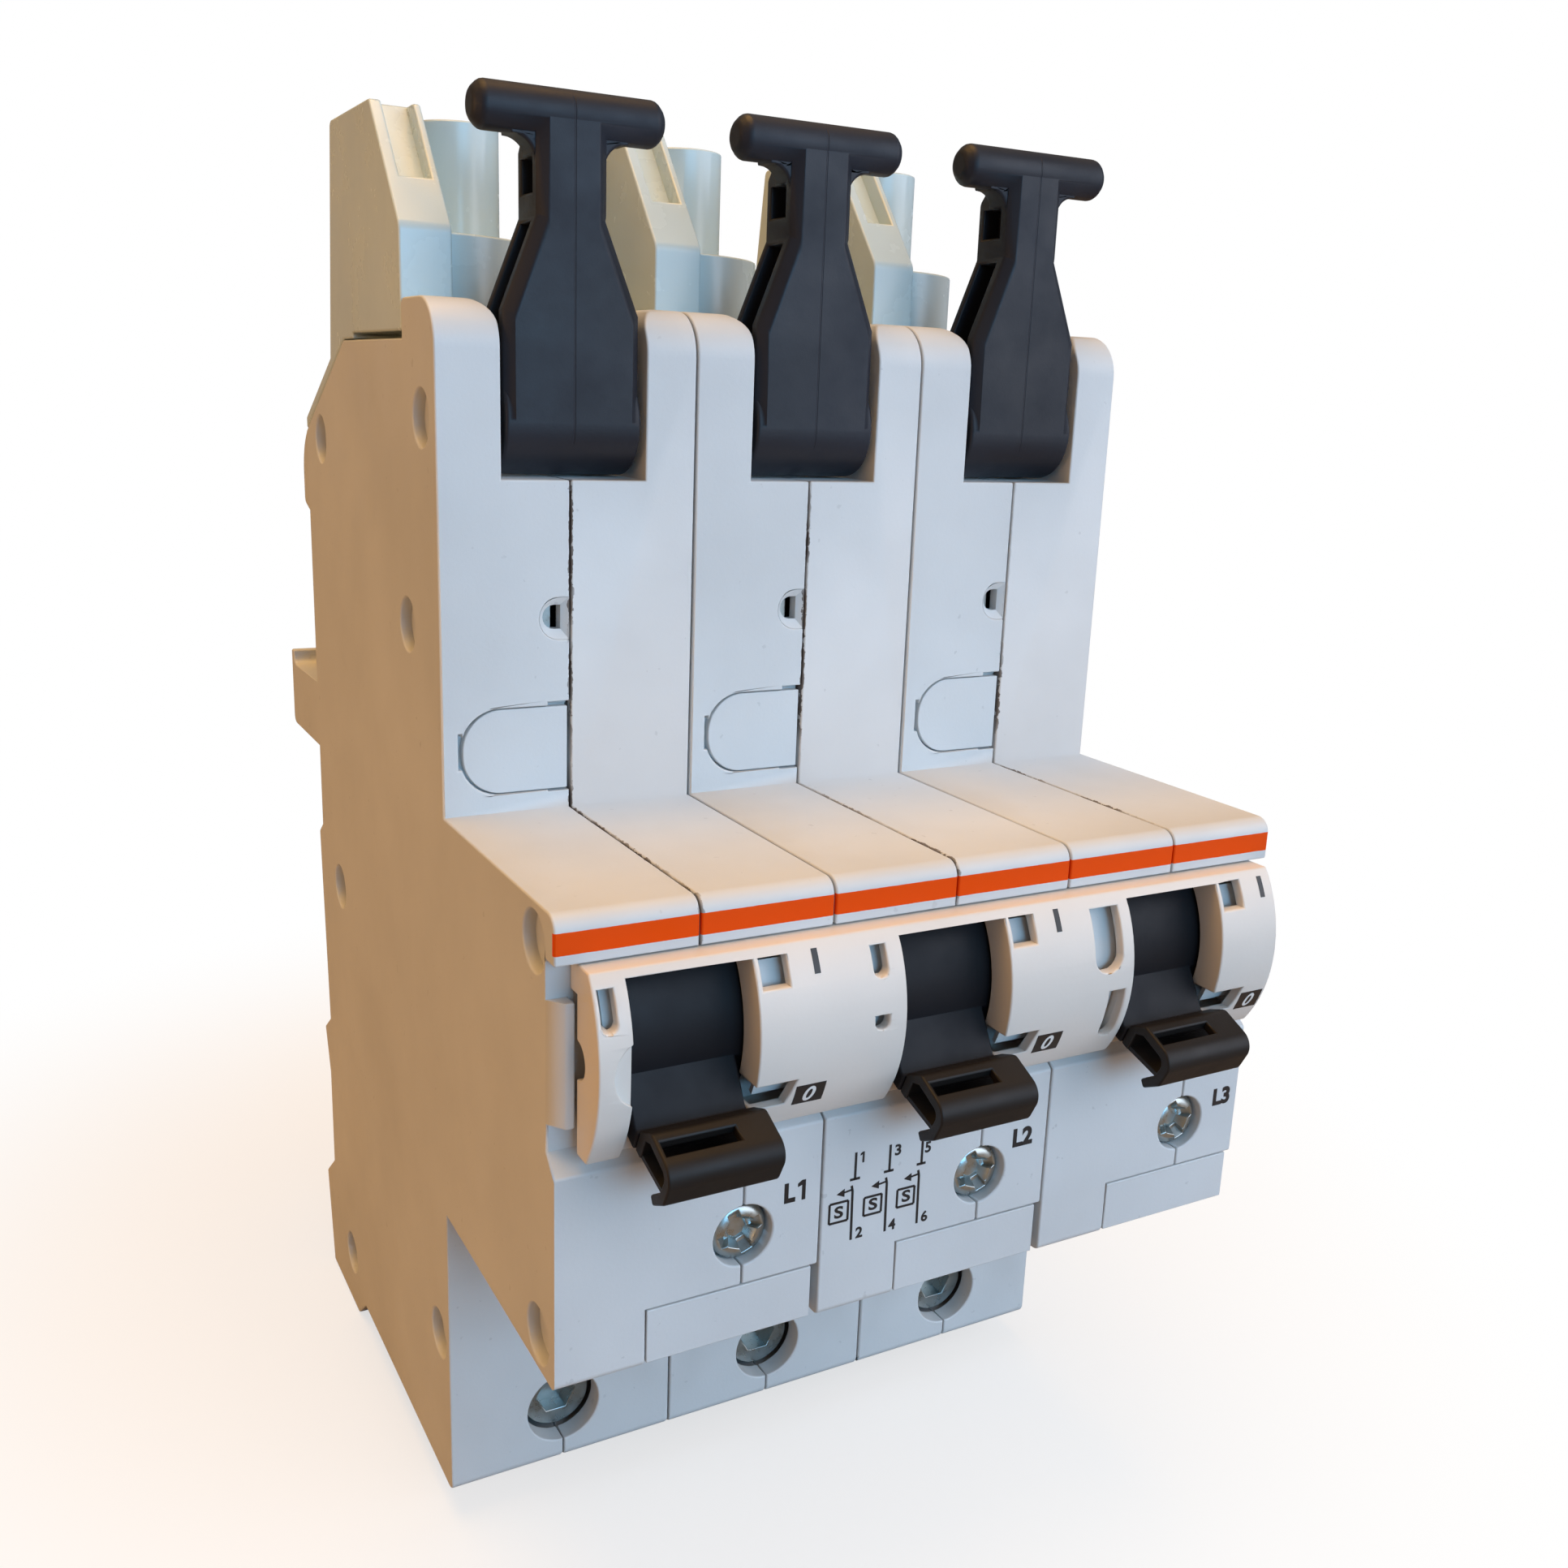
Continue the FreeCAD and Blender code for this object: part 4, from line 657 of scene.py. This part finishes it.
def front_screw(pole):
    """Pan-headed screw with a wide tapered socket, a flat floor in it and four short wings."""
    side = pole_side(pole) + SCREW_ASIDE
    height = SCREW_HEIGHT
    mesh = bpy.data.meshes.new("front_screw_%d_finished" % pole)
    form = turned_form(side, height, screw_profile())
    bmesh.ops.recalc_face_normals(form, faces=form.faces)
    form.to_mesh(mesh)
    form.free()
    piece = link_mesh("front_screw_%d_finished" % pole, mesh)
    socket = turned_form(side, height, [(0.0, 0.0), (2.1, 0.0), (1.0, 1.75), (0.0, 1.75)], 8)
    cut_with(piece, socket)
    for turn in (20, 110):
        wings = bmesh.new()
        along = Vector((math.cos(math.radians(turn)), math.sin(math.radians(turn))))
        beside = Vector((-along.y, along.x))
        rings = []
        for reach, half, depth in ((2.72, 0.7, 0.2), (1.5, 0.42, 1.5)):
            corners = [along * reach + beside * half, along * -reach + beside * half,
                       along * -reach - beside * half, along * reach - beside * half]
            rings.append([wings.verts.new(place(side + corner.x, depth, height + corner.y))
                          for corner in corners])
        wings.faces.new(rings[0])
        wings.faces.new(list(reversed(rings[1])))
        join_rings(wings, rings)
        cut_with(piece, wings)
    bevel_edges(piece, 0.06, 1, 35.0)
    settle_normals(piece, 32.0)
    piece.data.materials.append(MATERIALS["zinc"])
    node = "front_screw_%d" % pole
    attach(piece, frame["nodes"][node]["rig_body"])
    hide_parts(node)


def dress_nodes():
    """Every CAD node gets its finish; the ones that show also get rounded edges."""
    for node, owner in frame["nodes"].items():
        kind = node.rstrip("123").rstrip("_")
        owner.data.materials.clear()
        owner.data.materials.append(MATERIALS[SLOT_OF[node]])
        if kind in EDGE_ROUNDINGS:
            cutters = cover_cutters(int(node[-1])) if kind == "shell_left" else ()
            rounded_node(node, EDGE_ROUNDINGS[kind], cutters=cutters)
    for pole in POLES:
        front_screw(pole)
        window_trim(pole)
        grip_web(pole)
    guard_backing()


def on_front(side, height, raised):
    """A point on the flat front of the chin."""
    return place(side, -raised, height)


def on_guard(side, turn, raised):
    """A point on the round face of the guard, at an angle above the hinge's level."""
    radius = GUARD_RADIUS + raised
    angle = math.radians(turn)
    return place(side, HINGE_DEPTH - radius * math.cos(angle), HINGE_HEIGHT + radius * math.sin(angle))


def add_patch(form, spot, outlines, steps=1):
    """Thin print on a surface: each outline of four corners, in steps along its height."""
    for corners in outlines:
        rings = []
        for step in range(steps + 1):
            share = step / steps
            left = [corners[0][k] + (corners[3][k] - corners[0][k]) * share for k in (0, 1)]
            right = [corners[1][k] + (corners[2][k] - corners[1][k]) * share for k in (0, 1)]
            rings.append([form.verts.new(spot(*left, PRINT_RAISED)), form.verts.new(spot(*right, PRINT_RAISED)),
                          form.verts.new(spot(*right, PRINT_SUNK)), form.verts.new(spot(*left, PRINT_SUNK))])
        form.faces.new(list(reversed(rings[0])))
        form.faces.new(rings[-1])
        join_rings(form, rings)


def add_line(form, spot, start, end, width):
    """A straight printed line between two points."""
    along = (Vector(end) - Vector(start)).normalized()
    beside = Vector((-along.y, along.x)) * (width / 2)
    start, end = Vector(start), Vector(end)
    corners = [start + beside, start - beside, end - beside, end + beside]
    add_patch(form, spot, [[tuple(corner) for corner in corners]])


def glyph_mesh(letters, bold):
    """Letters or numbers as a flat mesh."""
    curve = bpy.data.curves.new("glyph", "FONT")
    curve.body = letters
    curve.offset = bold
    curve.resolution_u = 5
    holder = bpy.data.objects.new("glyph", curve)
    bpy.context.scene.collection.objects.link(holder)
    view = bpy.context.evaluated_depsgraph_get()
    mesh = bpy.data.meshes.new_from_object(holder.evaluated_get(view))
    bpy.data.objects.remove(holder)
    bpy.data.curves.remove(curve)
    return mesh


def add_glyphs(form, spot, letters, left, foot, width, height, bold=0.0, lean=0.0, raised=PRINT_RAISED):
    """Prints letters or numbers into a box on a surface."""
    mesh = glyph_mesh(letters, bold)
    lows = [min(vertex.co[k] for vertex in mesh.vertices) for k in (0, 1)]
    highs = [max(vertex.co[k] for vertex in mesh.vertices) for k in (0, 1)]
    glyph = bmesh.new()
    glyph.from_mesh(mesh)
    bpy.data.meshes.remove(mesh)
    bmesh.ops.remove_doubles(glyph, verts=glyph.verts, dist=0.0001)
    grown = bmesh.ops.extrude_face_region(glyph, geom=glyph.faces[:])
    backs = {item for item in grown["geom"] if isinstance(item, bmesh.types.BMVert)}
    for vertex in glyph.verts:
        across = (vertex.co.x - lows[0]) / (highs[0] - lows[0])
        up = (vertex.co.y - lows[1]) / (highs[1] - lows[1])
        depth = PRINT_SUNK if vertex in backs else raised
        vertex.co = spot(left + width * across + lean * up, foot + height * up, depth)
    printed = bpy.data.meshes.new("glyph")
    glyph.to_mesh(printed)
    glyph.free()
    form.from_mesh(printed)
    bpy.data.meshes.remove(printed)


def add_one(form, spot, left, foot, width, height, stroke):
    """A figure one, with its flag, printed from straight strokes."""
    bar = left + width - stroke
    top = foot + height
    add_patch(form, spot, [box_outline(bar, foot, bar + stroke, top),
                           [(left, top - height * 0.32), (bar, top - height * 0.24),
                            (bar, top), (left, top - height * 0.14)]])


def switch_sign(form):
    """Plain wiring sign of the three poles, with their terminal numbers."""
    columns = [
        (-9.82, 16.93, 14.10, (-10.39, -9.25), 7.54, (-12.53, 9.85, -10.45, 11.95)),
        (-5.90, 16.88, 14.06, (-6.52, -5.40), 7.47, (-8.63, 9.80, -6.62, 11.75)),
        (-2.13, 16.80, 13.99, (-2.68, -1.63), 7.40, (-4.78, 9.75, -2.78, 11.70)),
    ]
    numbers = [("2", -9.43, 7.55, 0.8, 1.2), ("3", -5.36, 15.55, 0.72, 1.2), ("4", -5.62, 7.45, 0.82, 1.2),
               ("5", -1.8, 15.05, 0.7, 1.2), ("6", -1.75, 7.4, 0.76, 1.2)]
    for side, top, tick, ends, foot, (left, low, right, high) in columns:
        add_line(form, on_front, (side, top), (side, tick), SIGN_STROKE)
        add_line(form, on_front, (ends[0], tick), (ends[1], tick), SIGN_STROKE)
        bend = (side - 0.2, tick - 1.25)
        add_line(form, on_front, (side - 0.33, tick - 0.65), bend, SIGN_STROKE)
        add_line(form, on_front, bend, (side - 0.12, foot), SIGN_STROKE)
        add_line(form, on_front, (side - 0.25, tick - 1.08), (side - 1.2, tick - 1.2), ARROW_STROKE)
        head = [(side - 1.95, tick - 1.26), (side - 1.1, tick - 1.66), (side - 1.1, tick - 0.78),
                (side - 1.94, tick - 1.22)]
        add_patch(form, on_front, [head])
        for start, end in (((left, low), (right, low)), ((right, low), (right, high)),
                           ((right, high), (left, high)), ((left, high), (left, low))):
            add_line(form, on_front, start, end, FRAME_STROKE)
        add_glyphs(form, on_front, "S", left + 0.56, low + 0.42, 1.0, 1.3, 0.03)
    add_one(form, on_front, -9.32, 15.7, 0.46, 1.15, 0.22)
    for letters, left, foot, width, height in numbers:
        add_glyphs(form, on_front, letters, left, foot, width, height, 0.03)


def printed_marks():
    """The plain marks on the front: pole names, on and off, and the wiring sign."""
    black = bmesh.new()
    white = bmesh.new()
    switch_sign(black)
    add_glyphs(black, on_front, "L", pole_side(1) + 9.4, 13.3, 1.2, 2.1, 0.045)
    add_one(black, on_front, pole_side(1) + 10.85, 13.3, 0.85, 2.1, 0.4)
    for pole, letters, left, foot in ((2, "L2", 9.1, 13.17), (3, "L3", 9.8, 12.07)):
        add_glyphs(black, on_front, letters, pole_side(pole) + left, foot, 2.5, 2.1, 0.045)
    for pole in POLES:
        middle = pole_side(pole)
        stroke = box_outline(middle + 9.6, 22.4, middle + 10.22, 31.0)
        add_patch(black, on_guard, [stroke], 6)
        plate = box_outline(middle + 8.0, -26.8, middle + 11.1, -17.8)
        add_patch(black, on_guard, [plate], 6)
        add_glyphs(white, on_guard, "0", middle + 8.8, -25.7, 1.15, 6.8, 0.02, 0.35, PRINT_ON_PRINT)
    new_piece("black_marks", black, BLACK_PRINT, "casing")
    new_piece("white_marks", white, WHITE_PRINT, "casing")


def new_camera():
    lens = bpy.data.cameras.new("photo_camera")
    lens.lens = CAMERA_LENS
    lens.sensor_width = CAMERA_SENSOR
    lens.sensor_fit = "HORIZONTAL"
    lens.clip_start = 0.01
    lens.clip_end = 10.0
    camera = bpy.data.objects.new("photo_camera", lens)
    columns = (Vector(CAMERA_RIGHT), -Vector(CAMERA_DOWN), -Vector(CAMERA_AHEAD))
    turn = Matrix(columns).transposed().to_4x4()
    camera.matrix_world = Matrix.Translation(Vector(CAMERA_PLACE) * MM) @ turn
    bpy.context.scene.collection.objects.link(camera)
    bpy.context.scene.camera = camera


def area_light(name, place_at, towards, size, watts, colour):
    data = bpy.data.lights.new(name, "AREA")
    data.shape = "DISK"
    data.size = size
    data.energy = watts
    data.color = colour
    lamp = bpy.data.objects.new(name, data)
    lamp.location = place_at
    lamp.rotation_mode = "QUATERNION"
    lamp.rotation_quaternion = (Vector(towards) - Vector(place_at)).to_track_quat("-Z", "Y")
    bpy.context.scene.collection.objects.link(lamp)


def seen_directly(tree):
    """1 for what the camera sees, also through glass, and 0 for light that bounces."""
    rays = tree.nodes.new("ShaderNodeLightPath")
    return sum_of(tree, "MAXIMUM", rays.outputs["Is Camera Ray"], rays.outputs["Is Transmission Ray"])


def pale_floor(low):
    """A pale floor that keeps the shadow near the breaker and fades to white further out.

    Light that bounces off it comes back warm, as from the table in the photograph."""
    bpy.ops.mesh.primitive_plane_add(size=6.0, location=(0, 0, low - 0.0002))
    floor = bpy.context.object
    floor.name = "floor"
    material, tree, shader = new_material("pale_floor")
    tone = ramp(tree, noise(tree, 4.0), [(0.3, (0.90, 0.90, 0.90, 1)), (0.7, (0.93, 0.93, 0.93, 1))])
    seen = seen_directly(tree)
    bounced = tree.nodes.new("ShaderNodeMix")
    bounced.data_type = "RGBA"
    tree.links.new(seen, bounced.inputs[0])
    bounced.inputs[6].default_value = TABLE_BOUNCE
    tree.links.new(tone, bounced.inputs[7])
    tree.links.new(bounced.outputs[2], shader.inputs["Base Color"])
    shader.inputs["Roughness"].default_value = 0.9
    across, depth, _ = axes(tree)
    reach = sum_of(tree, "SQRT", sum_of(tree, "ADD", sum_of(tree, "MULTIPLY", across, across),
                                        sum_of(tree, "MULTIPLY", depth, depth)))
    share = sum_of(tree, "MULTIPLY", fade(tree, reach, 0.05, 0.15, 0.66, 1.0), seen)
    white = tree.nodes.new("ShaderNodeEmission")
    white.inputs["Color"].default_value = (1.0, 1.0, 1.0, 1.0)
    white.inputs["Strength"].default_value = 1.0
    mix = tree.nodes.new("ShaderNodeMixShader")
    output = next(node for node in tree.nodes if node.type == "OUTPUT_MATERIAL")
    tree.links.new(share, mix.inputs["Fac"])
    tree.links.new(shader.outputs["BSDF"], mix.inputs[1])
    tree.links.new(white.outputs["Emission"], mix.inputs[2])
    tree.links.new(mix.outputs["Shader"], output.inputs["Surface"])
    floor.data.materials.append(material)


def studio_world():
    """A soft surround, warm at the left and cool elsewhere, that the camera sees as white."""
    world = bpy.data.worlds.new("studio")
    world.use_nodes = True
    bpy.context.scene.world = world
    tree = world.node_tree
    background = next(node for node in tree.nodes if node.type == "BACKGROUND")
    output = next(node for node in tree.nodes if node.type == "OUTPUT_WORLD")
    coordinates = tree.nodes.new("ShaderNodeTexCoord")
    split = tree.nodes.new("ShaderNodeSeparateXYZ")
    tree.links.new(coordinates.outputs["Generated"], split.inputs["Vector"])
    tone = ramp(tree, fade(tree, split.outputs["X"], -0.9, 0.1), [(0.0, ROOM_LEFT), (1.0, ROOM_REST)])
    tree.links.new(tone, background.inputs["Color"])
    background.inputs["Strength"].default_value = 1.0
    white = tree.nodes.new("ShaderNodeBackground")
    white.inputs["Color"].default_value = (1.0, 1.0, 1.0, 1.0)
    white.inputs["Strength"].default_value = 1.0
    mix = tree.nodes.new("ShaderNodeMixShader")
    tree.links.new(seen_directly(tree), mix.inputs["Fac"])
    tree.links.new(background.outputs["Background"], mix.inputs[1])
    tree.links.new(white.outputs["Background"], mix.inputs[2])
    tree.links.new(mix.outputs["Shader"], output.inputs["Surface"])


def new_stage():
    """Floor, surround and four soft lamps: cool from the right and the front, warm above and at the left."""
    pale_floor(cad_box[0].z)
    studio_world()
    middle = (cad_box[0] + cad_box[1]) / 2
    for name, away, size, watts, colour in LAMPS:
        area_light(name, middle + Vector(away), middle, size, watts, colour)


def finish_scene():
    view = bpy.context.scene.view_settings
    view.view_transform = "Standard"


new_camera()
new_stage()
dress_nodes()
printed_marks()
finish_scene()
